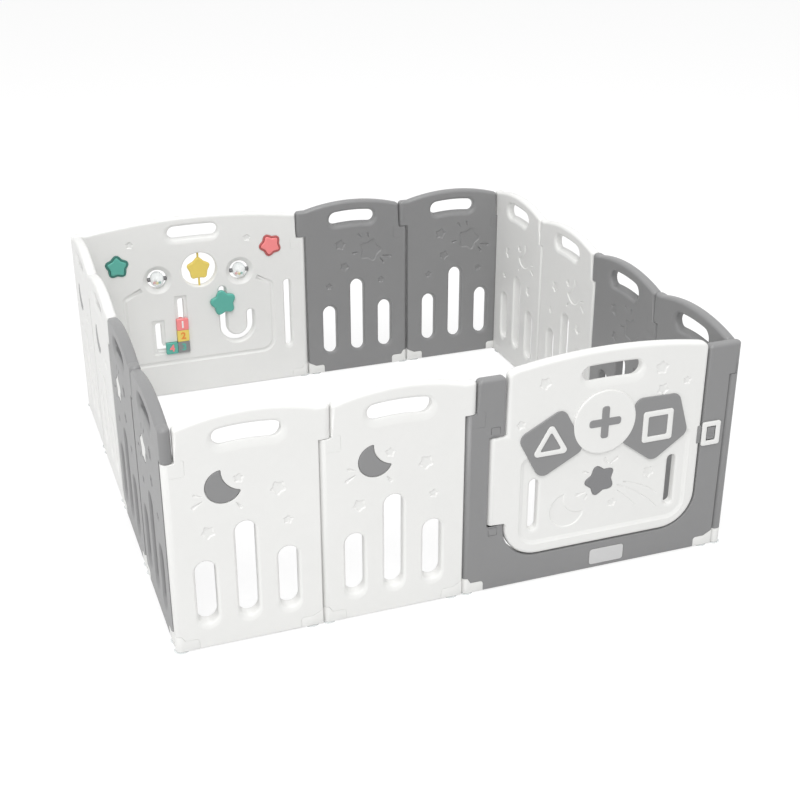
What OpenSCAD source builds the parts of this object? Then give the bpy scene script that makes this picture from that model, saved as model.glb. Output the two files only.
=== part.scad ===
// Folding playpen: a ring of hinged fence panels with a gate and an activity panel.
// Front is -Y. Every panel is drawn along +X from its hinge column, with its outer face at -Y,
// and is then set on its side of the square.

/* [Ring] */
// Distance between the two hinge axes of a standard panel
pitch = 380; // [330:1:450]
// Thickness of every panel
thick = 30; // [26:1:40]
// Height of the panels' lower edge above the floor
lift = 3; // [2:0.5:8]
// Height of the shoulders, where a panel's knuckle ends
shoulder_h = 614; // [590:1:680]
// Height of the step at which a knuckle sits over the next column
step_h = 524; // [480:1:540]
// Gap between a panel's flat end and the next column
seam_gap = 2; // [1:0.5:4]
// Upright gap between a knuckle and the column below it
knuckle_gap = 2; // [1:0.5:4]

/* [Hinge pins] */
// Radius of a knuckle's pin
pin_r = 5; // [3:0.5:8]
// Length of a knuckle's pin below the knuckle
pin_l = 40; // [15:1:80]
// Clearance of a pin in its bore, on the radius
pin_play = 0.5; // [0.3:0.1:1]

/* [Arched top] */
// Height of a standard panel's arch at its peak
arch_h = 637; // [620:1:690]
// Radius of a standard panel's arch
arch_r = 600; // [450:10:900]
// Distance of the peak from the hinge column
arch_x = 196; // [170:1:230]
// Length of the level shoulder before the knuckle's axis
shoulder_l = 24; // [15:1:60]

/* [Hand slot] */
// Half width of a hand slot at its waist
hand_r = 21.5; // [18:0.5:24]
// Width of the flare round a hand slot
hand_flare = 13; // [4:0.5:14]
// Length of a hand slot's opening at its waist
hand_l = 166; // [120:1:190]
// Depth of a hand slot's middle below the peak, standard panel
hand_drop = 65; // [60:1:90]

/* [Upright slots] */
// Distance between neighbouring upright slots
slot_pitch = 104; // [90:1:110]
// Width of an upright slot at the face
slot_w = 65; // [50:1:72]
// Narrowing of a slot from the face to its waist, each side
slot_flare = 7; // [2:0.5:10]
// Rise of a slot's sloping sill from the face to its waist
slot_sill = 33; // [10:1:50]
// Height of the slots' lower end at the face
slot_low = 52; // [48:1:70]
// Height of the outer slots' upper end
slot_top = 253; // [200:1:300]
// Height of the middle slot's upper end
slot_top_mid = 345; // [300:1:360]

/* [Corner connectors] */
// Length of a connector's wing from the hinge axis
wing_l = 44; // [40:1:60]
// Length of the wing let into a panel's flat end
wing_end_l = 58; // [50:1:70]
// Height of a connector's wing
wing_h = 29; // [24:1:36]
// Height of a connector beside the seam
foot_h = 43; // [38:1:50]
// Length of the slope from the seam's height down to the wing, at the column
slope_l = 8; // [4:1:12]
// Length of the same slope at a panel's flat end
slope_end_l = 26; // [10:1:30]
// Corner radius of a wing
wing_r = 9; // [4:1:14]
// Clearance between a connector and its panel
foot_gap = 0.4; // [0.2:0.1:0.8]
// Radius of a suction cup
cup_r = 19; // [14:0.5:20]
// Radius of a suction cup's stud
cup_stud_r = 4.5; // [3:0.5:7]
// Length of a suction cup's stud
cup_stud_l = 8; // [4:1:16]
// Distance of the second cup from the next hinge axis
cup_back = 45; // [42:1:52]

/* [Pressed-in decorations] */
// Distance of the decoration's middle from the hinge column
deco_x = 127; // [100:1:150]
// Height of the decoration's middle
deco_h = 444; // [420:1:460]
// Radius of the crescent
moon_r = 45; // [35:1:50]
// Radius of the crescent's hollow
moon_cut_r = 56; // [50:1:70]
// Distance between the crescent's two centres
moon_shift = 65.5; // [50:0.5:75]
// Direction of the crescent's hollow
moon_turn = 37.6; // [0:0.1:90]
// Reach of the panels' star from its middle
star_reach = 40; // [30:1:48]
// Thickness of a pressed-in decoration
deco_t = 5; // [3:0.5:8]
// Clearance round a decoration
deco_gap = 0.4; // [0.2:0.1:0.8]
// Depth of the same outline on the inner face
deco_sunk = 2; // [1:0.5:4]

/* [Gate frame] */
// Width of the left post up to the door, from its hinge axis
post_l = 95; // [90:0.5:110]
// Width of the right post up to its flat end
post_r = 68; // [55:0.5:80]
// Height of the sill below the door
sill_h = 81; // [60:1:100]
// Corner radius of the posts' tops
post_round = 14; // [6:1:18]
// Gap between door and frame, below and at the latch
door_gap = 2.5; // [2:0.5:5]
// Clearance of the door's hinge edge past the left post as it swings
swing_gap = 0.7; // [0.4:0.1:2]

/* [Gate door] */
// Peak height of the door's arch
door_h = 651; // [630:1:690]
// Radius of the door's arch
door_arch_r = 1550; // [1200:10:2500]
// Radius of the door's lower corners
door_round = 100; // [60:1:120]
// Radius of the door's upper corners
door_top_round = 28; // [15:1:40]
// Distance of the door's hinge axis from the frame's first hinge axis
door_axis = 67; // [64:0.5:72]
// Height of the hinge lobe's lower end
lobe_low = 195; // [150:1:230]
// Height of the hinge lobe's upper end
lobe_top = 451; // [380:1:500]
// Gap between the hinge lobe and its notch
lobe_gap = 2; // [1:0.5:4]
// Length of the door's hinge pins in the lobe
door_pin_l = 22; // [12:1:40]
// Width of a hinge pin's retaining clip
clip_w = 24; // [18:1:28]
// Height of a retaining clip
clip_h = 22; // [14:1:30]
// Depth of a retaining clip behind the hinge axis
clip_back = 6; // [5.5:0.5:9]
// Depth of the door's hand slot below the peak
door_hand_drop = 77; // [70:1:90]
// Distance of the sunk field from the door's edges
field_in = 37; // [25:1:50]
// Height of the sunk field's upper edge
field_top = 381; // [370:1:400]
// Depth of the sunk field
field_sunk = 3; // [1:0.5:5]
// Corner radius of the sunk field
field_round = 44; // [20:1:60]
// Width of the door's upright slots at the face
door_slot_w = 41; // [30:1:50]
// Distance of the door's slots from the door's middle
door_slot_x = 204; // [190:1:215]
// Lower end of the door's slots
door_slot_low = 146; // [140:1:180]
// Upper end of the door's slots
door_slot_top = 316; // [280:1:330]
// Rise of the door slots' sill from the face to the waist
door_slot_sill = 20; // [8:1:40]

/* [Badges] */
// Thickness of the badges on the door
badge_t = 5; // [3:0.5:8]
// Half diagonal to the corner centres of the square badge
square_r = 67; // [55:1:75]
// Radius of the disc badge
disc_r = 90; // [80:1:95]
// Distance from the middle to the pentagon's corner centres
pentagon_r = 75; // [65:1:80]
// Corner radius of the square and the pentagon
badge_round = 25; // [15:1:30]
// Rise of the signs on the badges
sign_t = 2; // [1:0.5:4]
// Distance from the triangle sign's middle to its outer corner centres
triangle_r = 42; // [30:1:46]
// Half diagonal to the square sign's outer corner centres
frame_r = 52; // [44:1:54]
// Half length of the plus sign's bars
plus_l = 46; // [30:1:60]
// Width of the signs' lines
line_w = 22; // [16:1:24]
// Gap between the disc and the badges beside it
badge_gap = 0.5; // [0.3:0.1:2]
// Width of the raised edge that is left round the badges in the sunk field
badge_rim = 5; // [2:1:10]
// Reach of the door's star
door_star_reach = 45; // [35:1:50]

/* [Latch] */
// Height of the latch's middle
latch_h = 358; // [330:1:400]
// Width of the latch slider
latch_w = 56; // [54:1:60]
// Height of the latch slider
latch_tall = 70; // [64:1:80]
// Width of the slider's frame round its opening
latch_frame = 14; // [13:1:16]
// Thickness of the latch slider
latch_t = 5; // [3:0.5:8]
// Travel of the latch
latch_travel = 10; // [6:1:12]
// Width of the keeper on the door's edge
keeper_w = 12; // [8:1:16]
// Height of the keeper
keeper_h = 52; // [40:1:64]
// Gap between the latch and the post, in front and in its groove
latch_gap = 0.5; // [0.3:0.1:1]
// Width of the grip inside the latch slider
grip_w = 24; // [18:1:24]
// Height of the grip
grip_h = 36; // [24:1:38]
// Width of the grip's foot, which bears on the slider's frame
latch_foot_w = 34; // [32:1:36]
// Depth of the grip's foot in the post's groove
latch_foot_t = 5; // [3:0.5:8]
// Free length of the groove at both ends of the latch's travel
groove_play = 2; // [1:0.5:4]

/* [Activity panel] */
// Rise of the activity panel's peak over a standard panel's
play_rise = 3; // [-10:1:10]
// Radius of the activity panel's arch
play_arch_r = 2200; // [1600:50:3000]
// Depth of its hand slot below the peak
play_hand_drop = 56; // [50:1:75]
// Reach of the star buttons' rims
button_reach = 40; // [34:1:44]
// Distance of the teal button from the panel's middle
teal_x = 257; // [250:1:265]
// Depth of the teal button's middle below the peak
teal_drop = 149; // [140:1:155]
// Distance of the red button from the panel's middle
red_x = 270; // [262:1:275]
// Depth of the red button's middle below the peak
red_drop = 130; // [120:1:140]
// Width of a button's rim
button_rim = 7; // [4:0.5:9]
// Wall of the rim beside the button's flange
button_wall = 3; // [2:0.5:3.5]
// Rise of a button's rim above the panel's face
rim_rise = 3; // [1:0.5:5]
// Rise of a star button above its rim
button_rise = 3; // [2:0.5:6]
// Depth of a star button's seat
button_seat_t = 14; // [11:0.5:18]
// Thickness of a star button's flange
flange_t = 3; // [2:0.5:4]
// Clearance of a star button in its rim
button_play = 0.5; // [0.3:0.1:0.8]
// Travel of a star button
button_travel = 4; // [2:0.5:6]
// Height of the rattle rollers' middle
roller_h = 429; // [410:1:440]
// Distance of the rollers from their own middle
roller_x = 142; // [138:1:146]
// Distance of that middle from the panel's middle, towards the hinge column
roller_shift = 16; // [12:1:18]
// Radius of the rollers' holes
roller_hole_r = 33; // [29:0.5:36]
// Radius of the funnel round a roller's hole
roller_funnel_r = 50; // [44:1:56]
// Radius of a roller at its middle
roller_r = 27; // [20:0.5:29]
// Height of the turning star's middle
spin_h = 450; // [445:1:455]
// Distance of the turning star from the panel's middle, towards the hinge column
spin_shift = 18; // [15:1:20]
// Radius of the turning star's window
spin_hole_r = 60; // [52:1:62]
// Reach of the turning star
spin_reach = 41; // [30:1:46]
// Thickness of the turning star
spin_t = 14; // [8:1:20]
// Radius of the play pieces' axles
axle_r = 3.5; // [2.5:0.5:5]
// Length of an axle's end inside the panel
axle_in = 8; // [5:1:14]

/* [Slider star] */
// Width of the slider's J slot
j_w = 21; // [16:1:26]
// Chamfer round the J slot
j_flare = 7; // [3:1:9]
// Distance of the J slot's long arm from the panel's middle
j_x = 93; // [85:1:100]
// Height of the long arm's upper end
j_top = 377; // [360:1:385]
// Radius of the J slot's bend
j_bend_r = 48; // [40:1:56]
// Height of the bend's middle
j_bend_h = 229; // [210:1:250]
// Height of the short arm's upper end
j_short_top = 281; // [265:1:300]
// Height at which the slider star stands
slider_h = 323; // [290:1:330]
// Reach of the slider star
slider_reach = 46; // [34:1:50]
// Thickness of the slider star
slider_t = 12; // [8:1:18]

/* [Blocks] */
// Size of a block's face
block_s = 41; // [36:1:44]
// Gap between neighbouring blocks, and between a block and its track
block_gap = 0.6; // [0.4:0.1:1.2]
// Rise of a block above the panel's face
block_t = 10; // [6:1:16]
// Depth of the track that the blocks stand in
track_sunk = 4; // [2:0.5:6]
// Distance of the tall track from the panel's middle
track_x = 54; // [50:1:60]
// Distance between the two upright tracks
track_pitch = 82; // [80:1:90]
// Height of the tracks' lower edge
track_low = 157; // [150:1:170]
// Height of the tall track's upper edge
track_top = 364; // [340:1:370]
// Height of the short track's upper edge
track_short_top = 283; // [260:1:300]
// Width of the slit along a track
slit_w = 21; // [17:1:22]
// Radius of a stem behind a block or the slider star
stem_r = 8; // [5:0.5:9]
// Radius of the washer that holds a stem at the back
washer_r = 14; // [12:0.5:18]
// Thickness of that washer
washer_t = 3; // [2:0.5:5]
// Gap between a washer and the panel's back
washer_gap = 0.6; // [0.3:0.1:1.5]

/* [Far slot] */
// Distance of the far slot from the panel's middle
far_x = 325; // [315:1:330]
// Width of the far slot at the face
far_w = 36; // [24:1:40]
// Lower end of the far slot
far_low = 115; // [80:1:140]
// Upper end of the far slot
far_top = 381; // [340:1:400]

/* [Hidden] */
$fn = 96;

white = [0.93, 0.93, 0.92];
grey = [0.53, 0.53, 0.53];
teal = [0.22, 0.62, 0.54];
red = [0.93, 0.47, 0.49];
yellow = [0.90, 0.77, 0.35];
dark_teal = [0.16, 0.42, 0.38];
clear = [0.88, 0.90, 0.90];

half = thick / 2;
double = 2 * pitch;
free_x = half + seam_gap;
column_top = step_h - knuckle_gap / 2;
knuckle_low = step_h + knuckle_gap / 2;
over = 1;
sign_round = line_w * 0.36;
sign_shift = 4;
bevel_fn = 24;
tip_steps = 6;
corner_steps = 10;

// Places on the door and its frame
door_x0 = door_axis + norm([post_l - door_axis, half]) + swing_gap;
post_x = double - free_x - post_r;
door_x1 = post_x - door_gap;
door_mid = (door_x0 + door_x1) / 2;
door_low = sill_h + door_gap;
badge_h = lift + 443;
disc_x = door_mid - 11;
square_at = [disc_x - 150, badge_h - 38];
pentagon_at = [disc_x + 154, badge_h - 36];
door_star_at = [disc_x, lift + 265];
door_star_turn = 38;
door_star_y = -half + field_sunk - 0.5;
badge_face = -half - badge_t;
square_turn = -17;
pentagon_turn = -91;
latch_x = post_x + latch_w / 2 - 1;
latch_foot_x = latch_x - latch_foot_w / 2;

// Places on the activity panel, counted from its middle towards its knuckle as seen from outside
play_mid = pitch;
play_arch_h = arch_h + play_rise;
button_at = [teal_x, play_arch_h - teal_drop];
button_turn = 90;
red_button_at = [-red_x, play_arch_h - red_drop];
red_button_turn = 66;
slider_turn = 72;
button_floor = half - button_seat_t;
tall_track = play_mid + track_x;
short_track = tall_track + track_pitch;
bend_x = play_mid - j_x - j_bend_r;
long_arm = play_mid - j_x;
block_low = track_low + block_gap;
block_step = block_s + block_gap;

// ---------------------------------------------------------------- helpers

// Sets a panel, drawn along +X from its hinge column, on a side of the square ring.
module on_side(side, start) {
    rotate([0, 0, 90 * side])
        translate([(start - 2) * pitch, -2 * pitch, 0])
            children();
}

// Turns an elevation drawn as [along, height] into a plate from depth y0 to y1.
module plate(y0, y1) {
    translate([0, y1, 0])
        rotate([90, 0, 0])
            linear_extrude(height = y1 - y0)
                children();
}

module box_2d(x0, z0, x1, z1) {
    translate([x0, z0])
        square([x1 - x0, z1 - z0]);
}

module rounded_2d(x0, z0, x1, z1, r) {
    box_2d(x0 + r, z0, x1 - r, z1);
    box_2d(x0, z0 + r, x1, z1 - r);
    for (x = [x0 + r, x1 - r], z = [z0 + r, z1 - r])
        translate([x, z])
            circle(r = r);
}

module stadium_2d(w, z0, z1) {
    box_2d(-w / 2, z0 + w / 2, w / 2, z1 - w / 2);
    for (z = [z0 + w / 2, z1 - w / 2])
        translate([0, z])
            circle(d = w);
}

// Points along an arc from angle a0 to a1
function arc_points(centre, r, a0, a1, steps) =
    [for (i = [0:steps]) let (a = a0 + (a1 - a0) * i / steps) centre + r * [cos(a), sin(a)]];

// Polygon of n sides with round corners; reach is from the middle to a corner's centre.
module round_ngon_2d(n, reach, r, turn) {
    polygon([for (i = [0:n - 1])
        let (a = turn + 360 / n * i)
        each arc_points(reach * [cos(a), sin(a)], r, a - 180 / n, a + 180 / n, corner_steps)]);
}

// Star of five points with round tips; reach is from the middle to a tip's end.
module star_2d(reach, turn = 90, valley = 0.62, tip = 0.25) {
    r = reach * tip;
    lean = atan2(valley * sin(36), 1 - valley * cos(36));
    centre = reach - r;
    sharp = centre + r / sin(lean);
    polygon([for (i = [0:4])
        let (a = turn + 72 * i)
        each concat(
            arc_points(centre * [cos(a), sin(a)], r, a - 90 + lean, a + 90 - lean, tip_steps),
            [sharp * valley * [cos(a + 36), sin(a + 36)]]
        )]);
}

module moon_2d(grow = 0) {
    difference() {
        circle(r = moon_r + grow);
        rotate(moon_turn)
            translate([moon_shift, 0])
                circle(r = moon_cut_r - grow);
    }
}

// Slot that is widest at both faces and narrowest at its waist, with a sloping sill.
module waisted_slot(w, z0, z1, flare, sill) {
    for (side = [-1, 1])
        hull() {
            plate(-0.1, 0.1)
                stadium_2d(w - 2 * flare, z0 + sill, z1 - flare, $fn = bevel_fn);
            translate([0, side * (half + 0.1), 0])
                plate(-0.1, 0.1)
                    stadium_2d(w, z0, z1, $fn = bevel_fn);
        }
}

// Hand slot that follows an arch: bent about a centre below, flared towards both faces.
module hand_slot(x, peak, r, drop) {
    mid_r = r - drop;
    end_a = asin((hand_l / 2 - hand_r) / mid_r);
    wide = hand_r + hand_flare;
    translate([x, 0, peak - r])
        rotate([90, 0, 0]) {
            rotate(90 - end_a)
                rotate_extrude(angle = 2 * end_a)
                    polygon([
                        [mid_r - wide, -half - over], [mid_r + wide, -half - over],
                        [mid_r + wide, -half], [mid_r + hand_r, 0], [mid_r + wide, half],
                        [mid_r + wide, half + over], [mid_r - wide, half + over],
                        [mid_r - wide, half], [mid_r - hand_r, 0], [mid_r - wide, -half],
                    ]);
            for (a = [90 - end_a, 90 + end_a])
                rotate(a)
                    translate([mid_r, 0, 0])
                        waist_round(hand_r, wide);
        }
}

// Round hole, narrowest at its waist.
module waist_round(r, wide) {
    rotate_extrude()
        polygon([
            [0, -half - over], [wide, -half - over], [wide, -half],
            [r, 0],
            [wide, half], [wide, half + over], [0, half + over],
        ]);
}

// ---------------------------------------------------------------- parts that every panel has

// Elevation of a connector's wing, high from x = from to x = 0 and then sloping down over slope.
module wing_2d(from, length, slope, grow) {
    r = wing_r + grow;
    z = lift + wing_h + grow;
    box_2d(from, lift - over, length + grow, z - r);
    box_2d(from, lift, length + grow - r, z);
    translate([length + grow - r, z - r])
        circle(r = r);
    polygon([
        [from, z - over], [from, lift + foot_h + grow],
        [grow, lift + foot_h + grow], [slope + grow, z], [slope + grow, z - over],
    ]);
}

module end_wing_2d(length, from, grow) {
    translate([length - free_x, 0])
        mirror([1, 0])
            wing_2d(from, wing_end_l, slope_end_l, grow);
}

module start_wing_2d(from, grow) {
    wing_2d(from, wing_l, slope_l, grow);
}

// Plan of a panel's lower part: half-round column, then the board.
module column_plan(length, z0, z1) {
    translate([0, 0, z0]) {
        cylinder(r = half, h = z1 - z0);
        translate([0, -half, 0])
            cube([length - free_x, thick, z1 - z0]);
    }
}

module corner_connectors(length) {
    difference() {
        union() {
            intersection() {
                plate(-half, half)
                    start_wing_2d(-half, 0);
                column_plan(double, lift, lift + foot_h);
            }
            intersection() {
                plate(-half, half)
                    end_wing_2d(length, 0, 0);
                column_plan(length, lift, lift + foot_h);
            }
        }
        for (x = [0, length - cup_back])
            translate([x, 0, lift - over])
                cylinder(r = cup_stud_r + foot_gap / 2, h = cup_stud_l + over + foot_gap);
    }
}

module suction_cup() {
    lip = lift * 0.25;
    rotate_extrude()
        polygon([
            [0, lip * 2], [cup_r * 0.7, lip], [cup_r * 0.92, 0], [cup_r, 0], [cup_r, lip],
            [cup_stud_r * 2, lift - lip], [cup_stud_r + 2, lift],
            [cup_stud_r, lift], [cup_stud_r, lift + cup_stud_l], [0, lift + cup_stud_l],
        ]);
}

module feet(length) {
    color(white)
        corner_connectors(length);
    color(clear)
        for (x = [0, length - cup_back])
            translate([x, 0, 0])
                suction_cup();
}

// Board with its column, knuckle, pin and seats for the connectors; children are its elevation.
module hinged_board(length) {
    difference() {
        union() {
            plate(-half, half)
                children();
            translate([0, 0, lift])
                cylinder(r = half, h = column_top - lift);
            translate([length, 0, knuckle_low])
                cylinder(r = half, h = shoulder_h - knuckle_low);
            translate([length, 0, knuckle_low - pin_l])
                cylinder(r = pin_r, h = pin_l + over);
        }
        translate([0, 0, column_top - pin_l])
            cylinder(r = pin_r + pin_play, h = pin_l + over);
        plate(-half - over, half + over) {
            start_wing_2d(-half - over, foot_gap);
            end_wing_2d(length, -over, foot_gap);
        }
    }
}

// Elevation of a board of a given length, with an arch between its shoulders.
module board_2d(length, peak_x, peak_h, r) {
    box_2d(0, lift, length - free_x, column_top);
    box_2d(free_x, column_top - over, length - free_x, knuckle_low + over);
    box_2d(length - shoulder_l, knuckle_low, length, shoulder_h);
    intersection() {
        translate([peak_x, peak_h - r])
            circle(r = r, $fn = 360);
        box_2d(free_x, knuckle_low, length - shoulder_l + over, peak_h + over);
    }
}

// ---------------------------------------------------------------- standard panel

slot_mid = (pitch - free_x - half) / 2;

module deco_2d(kind, grow) {
    translate([deco_x, deco_h])
        if (kind == "moon")
            moon_2d(grow);
        else
            star_2d(star_reach + grow);
}

module standard_panel(tint, kind) {
    color(tint)
        difference() {
            hinged_board(pitch)
                board_2d(pitch, arch_x, arch_h, arch_r);
            hand_slot(arch_x, arch_h, arch_r, hand_drop);
            for (i = [-1, 0, 1])
                translate([slot_mid + i * slot_pitch, 0, 0])
                    waisted_slot(slot_w, slot_low, i == 0 ? slot_top_mid : slot_top, slot_flare, slot_sill);
            plate(-half - over, -half + deco_t)
                deco_2d(kind, deco_gap);
            plate(half - deco_sunk, half + over)
                deco_2d(kind, 0);
        }
}

module decoration(tint, kind) {
    color(tint)
        plate(-half, -half + deco_t)
            deco_2d(kind, 0);
}

// ---------------------------------------------------------------- gate

module gate_frame_2d() {
    r = door_round + door_gap;
    difference() {
        union() {
            box_2d(0, lift, post_l, column_top);
            rounded_2d(free_x, knuckle_low - 2 * post_round - over, post_l, shoulder_h, post_round);
            box_2d(free_x, column_top - 3 * post_round, post_l, knuckle_low + over);
            box_2d(0, lift, double - free_x, sill_h);
            box_2d(post_x, lift, double - free_x, knuckle_low + over);
            rounded_2d(post_x, knuckle_low - 2 * post_round, double + post_round, shoulder_h, post_round);
            for (x = [post_l, post_x - r])
                box_2d(x, sill_h - over, x + r, sill_h + r);
        }
        box_2d(double, 0, double + 2 * post_round, shoulder_h + over);
        box_2d(double - free_x, 0, double + over, knuckle_low);
        for (x = [post_l + r, post_x - r])
            translate([x, sill_h + r])
                circle(r = r);
        box_2d(post_l + r, sill_h, post_x - r, sill_h + 2 * r);
        box_2d(post_l, sill_h + r, post_x, sill_h + 2 * r);
    }
}

notch_low = lobe_low - lobe_gap;
notch_top = lobe_top + lobe_gap;

// One hinge pin with its clip, drawn upwards from the notch's end.
module hinge_pin(grow) {
    translate([0, 0, -door_pin_l])
        cylinder(r = pin_r + grow, h = door_pin_l + over);
    translate([-clip_w / 2 - grow, -half, 0])
        cube([clip_w + 2 * grow, half + clip_back + grow, clip_h + grow]);
}

module both_hinge_pins(grow) {
    translate([door_axis, 0, notch_top])
        hinge_pin(grow);
    translate([door_axis, 0, notch_low])
        mirror([0, 0, 1])
            hinge_pin(grow);
}

module gate_frame() {
    groove_x = latch_foot_x - groove_play;
    color(grey)
        difference() {
            hinged_board(double)
                gate_frame_2d();
            plate(-half - over, half + over)
                box_2d(door_axis - half - lobe_gap, notch_low, post_l + over, notch_top);
            both_hinge_pins(deco_gap);
            plate(-half - over, -half + latch_foot_t + latch_gap)
                box_2d(groove_x, latch_h - grip_h / 2 - latch_gap,
                    groove_x + latch_foot_w + latch_travel + 2 * groove_play,
                    latch_h + grip_h / 2 + latch_gap);
        }
}

// Elevation of the door: round lower corners, small upper corners under a shallow arch.
module door_2d() {
    r = door_round;
    c = door_top_round;
    base = door_h - door_arch_r;
    corner_x = (door_x1 - door_x0) / 2 - c;
    corner_z = base + sqrt(pow(door_arch_r - c, 2) - pow(corner_x, 2));
    touch = corner_x * door_arch_r / (door_arch_r - c);
    box_2d(door_x0 + r, door_low, door_x1 - r, door_low + r + over);
    box_2d(door_x0, door_low + r, door_x1, corner_z);
    for (x = [door_x0 + r, door_x1 - r])
        translate([x, door_low + r])
            circle(r = r);
    for (x = [-corner_x, corner_x])
        translate([door_mid + x, corner_z])
            circle(r = c);
    intersection() {
        translate([door_mid, base])
            circle(r = door_arch_r, $fn = 360);
        box_2d(door_mid - touch, corner_z - over, door_mid + touch, door_h + over);
    }
}

// Outline of the keeper on the door's free edge
module keeper_2d(grow) {
    box_2d(door_x1 - keeper_w - grow, latch_h - keeper_h / 2 - grow, door_x1 + grow,
        latch_h + keeper_h / 2 + grow);
}

module gate_door() {
    color(white)
        difference() {
            union() {
                plate(-half, half) {
                    door_2d();
                    box_2d(door_axis, lobe_low, door_x0 + over, lobe_top);
                }
                translate([door_axis, 0, lobe_low])
                    cylinder(r = half, h = lobe_top - lobe_low);
            }
            hand_slot(door_mid, door_h, door_arch_r, door_hand_drop);
            for (x = [-door_slot_x, door_slot_x])
                translate([door_mid + x, 0, 0])
                    waisted_slot(door_slot_w, door_slot_low, door_slot_top, slot_flare, door_slot_sill);
            for (z = [lobe_low - over, lobe_top - door_pin_l])
                translate([door_axis, 0, z])
                    cylinder(r = pin_r + pin_play, h = door_pin_l + over);
            plate(-half - over, -half + field_sunk)
                difference() {
                    rounded_2d(door_x0 + field_in, door_low + field_in, door_x1 - field_in, field_top,
                        field_round);
                    square_badge_2d(badge_rim);
                    disc_badge_2d(badge_rim);
                    pentagon_badge_2d(badge_rim);
                }
            plate(-half - over, door_star_y + deco_t)
                translate(door_star_at)
                    star_2d(door_star_reach + deco_gap, turn = door_star_turn);
            plate(-half - over, -half + deco_t)
                keeper_2d(deco_gap);
        }
}

module door_star() {
    color(grey)
        plate(door_star_y, door_star_y + deco_t)
            translate(door_star_at)
                star_2d(door_star_reach, turn = door_star_turn);
}

module door_keeper() {
    color(grey)
        plate(-half - 1, -half + deco_t)
            keeper_2d(0);
}

module gate_hinge_pins() {
    color(grey)
        both_hinge_pins(0);
}

module square_badge_2d(grow) {
    translate(square_at)
        round_ngon_2d(4, square_r, badge_round + grow, square_turn);
}

module disc_badge_2d(grow) {
    translate([disc_x, badge_h])
        circle(r = disc_r + grow);
}

module pentagon_badge_2d(grow) {
    translate(pentagon_at)
        round_ngon_2d(5, pentagon_r, badge_round + grow, pentagon_turn);
}

// Plate of a badge that the disc beside it cuts into.
module cut_badge() {
    plate(badge_face, -half)
        difference() {
            children();
            disc_badge_2d(badge_gap);
        }
}

// Raised triangle outline
module square_badge() {
    color(grey)
        cut_badge()
            square_badge_2d(0);
    color(white)
        plate(badge_face - sign_t, badge_face)
            translate(square_at - [sign_shift, 0])
                difference() {
                    round_ngon_2d(3, triangle_r, sign_round + 2, 90);
                    round_ngon_2d(3, triangle_r - line_w * 0.65, sign_round / 2, 90);
                }
}

// Raised plus sign
module disc_badge() {
    color(white)
        plate(badge_face, -half)
            disc_badge_2d(0);
    color(grey)
        plate(badge_face - sign_t, badge_face)
            translate([disc_x, badge_h]) {
                rounded_2d(-plus_l, -line_w / 2, plus_l, line_w / 2, sign_round);
                rounded_2d(-line_w / 2, -plus_l, line_w / 2, plus_l, sign_round);
            }
}

// Raised square outline
module pentagon_badge() {
    color(grey)
        cut_badge()
            pentagon_badge_2d(0);
    color(white)
        plate(badge_face - sign_t, badge_face)
            translate(pentagon_at + [sign_shift, 0])
                difference() {
                    round_ngon_2d(4, frame_r, sign_round, 45);
                    round_ngon_2d(4, frame_r - line_w * 0.75, sign_round / 2, 45);
                }
}

// White frame that the thumb pushes along the post
module latch_slider() {
    w = latch_w / 2;
    h = latch_tall / 2;
    color(white)
        plate(-half - latch_gap - latch_t, -half - latch_gap)
            translate([latch_x, latch_h])
                difference() {
                    rounded_2d(-w, -h, w, h, 6);
                    rounded_2d(latch_frame - w, latch_frame - h, w - latch_frame, h - latch_frame, 2);
                }
}

// Grip inside the frame, with the foot that runs in the post's groove
module latch_grip() {
    low = latch_h - grip_h / 2;
    color(grey) {
        plate(-half - latch_gap - latch_t + 1, -half - latch_gap)
            box_2d(latch_x - grip_w / 2, low, latch_x + grip_w / 2, low + grip_h);
        plate(-half - latch_gap, -half + latch_foot_t)
            box_2d(latch_foot_x, low, latch_foot_x + latch_foot_w, low + grip_h);
    }
}

// ---------------------------------------------------------------- activity panel

module funnel(r, wide) {
    plate(-half - over, half + over)
        circle(r = r);
    translate([0, half + over, 0])
        rotate([90, 0, 0])
            cylinder(r1 = wide + over, r2 = r, h = wide - r);
}

// Elevation of the J slot, widened by grow
module j_2d(grow) {
    r = j_w / 2 + grow;
    for (arm = [[long_arm, j_top - j_w / 2], [bend_x - j_bend_r, j_short_top - j_w / 2]]) {
        box_2d(arm[0] - r, j_bend_h - over, arm[0] + r, arm[1]);
        translate(arm)
            circle(r = r);
    }
    translate([bend_x, j_bend_h])
        difference() {
            circle(r = j_bend_r + r);
            circle(r = j_bend_r - r);
            box_2d(-2 * double, 0, 2 * double, 2 * double);
        }
}

// Elevation of the h-shaped track for the blocks
module track_2d() {
    w = block_s / 2 + block_gap;
    top = track_low + block_s + 2 * block_gap;
    box_2d(tall_track - w, track_low, tall_track + w, track_top);
    box_2d(short_track - w, track_low, short_track + w, track_short_top);
    box_2d(tall_track, track_low, short_track, top);
}

module slit_2d() {
    r = slit_w / 2;
    low = block_low + block_s / 2;
    for (arm = [[tall_track, track_top - 10], [short_track, track_short_top - 10]])
        translate([arm[0], 0])
            stadium_2d(slit_w, low - r, arm[1]);
    box_2d(tall_track, low - r, short_track, low + r);
}

module button_2d(at, turn, grow) {
    translate([play_mid, 0])
        translate(at)
            star_2d(button_reach + grow, turn = turn);
}

module both_buttons_2d(grow) {
    button_2d(button_at, button_turn, grow);
    button_2d(red_button_at, red_button_turn, grow);
}

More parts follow.
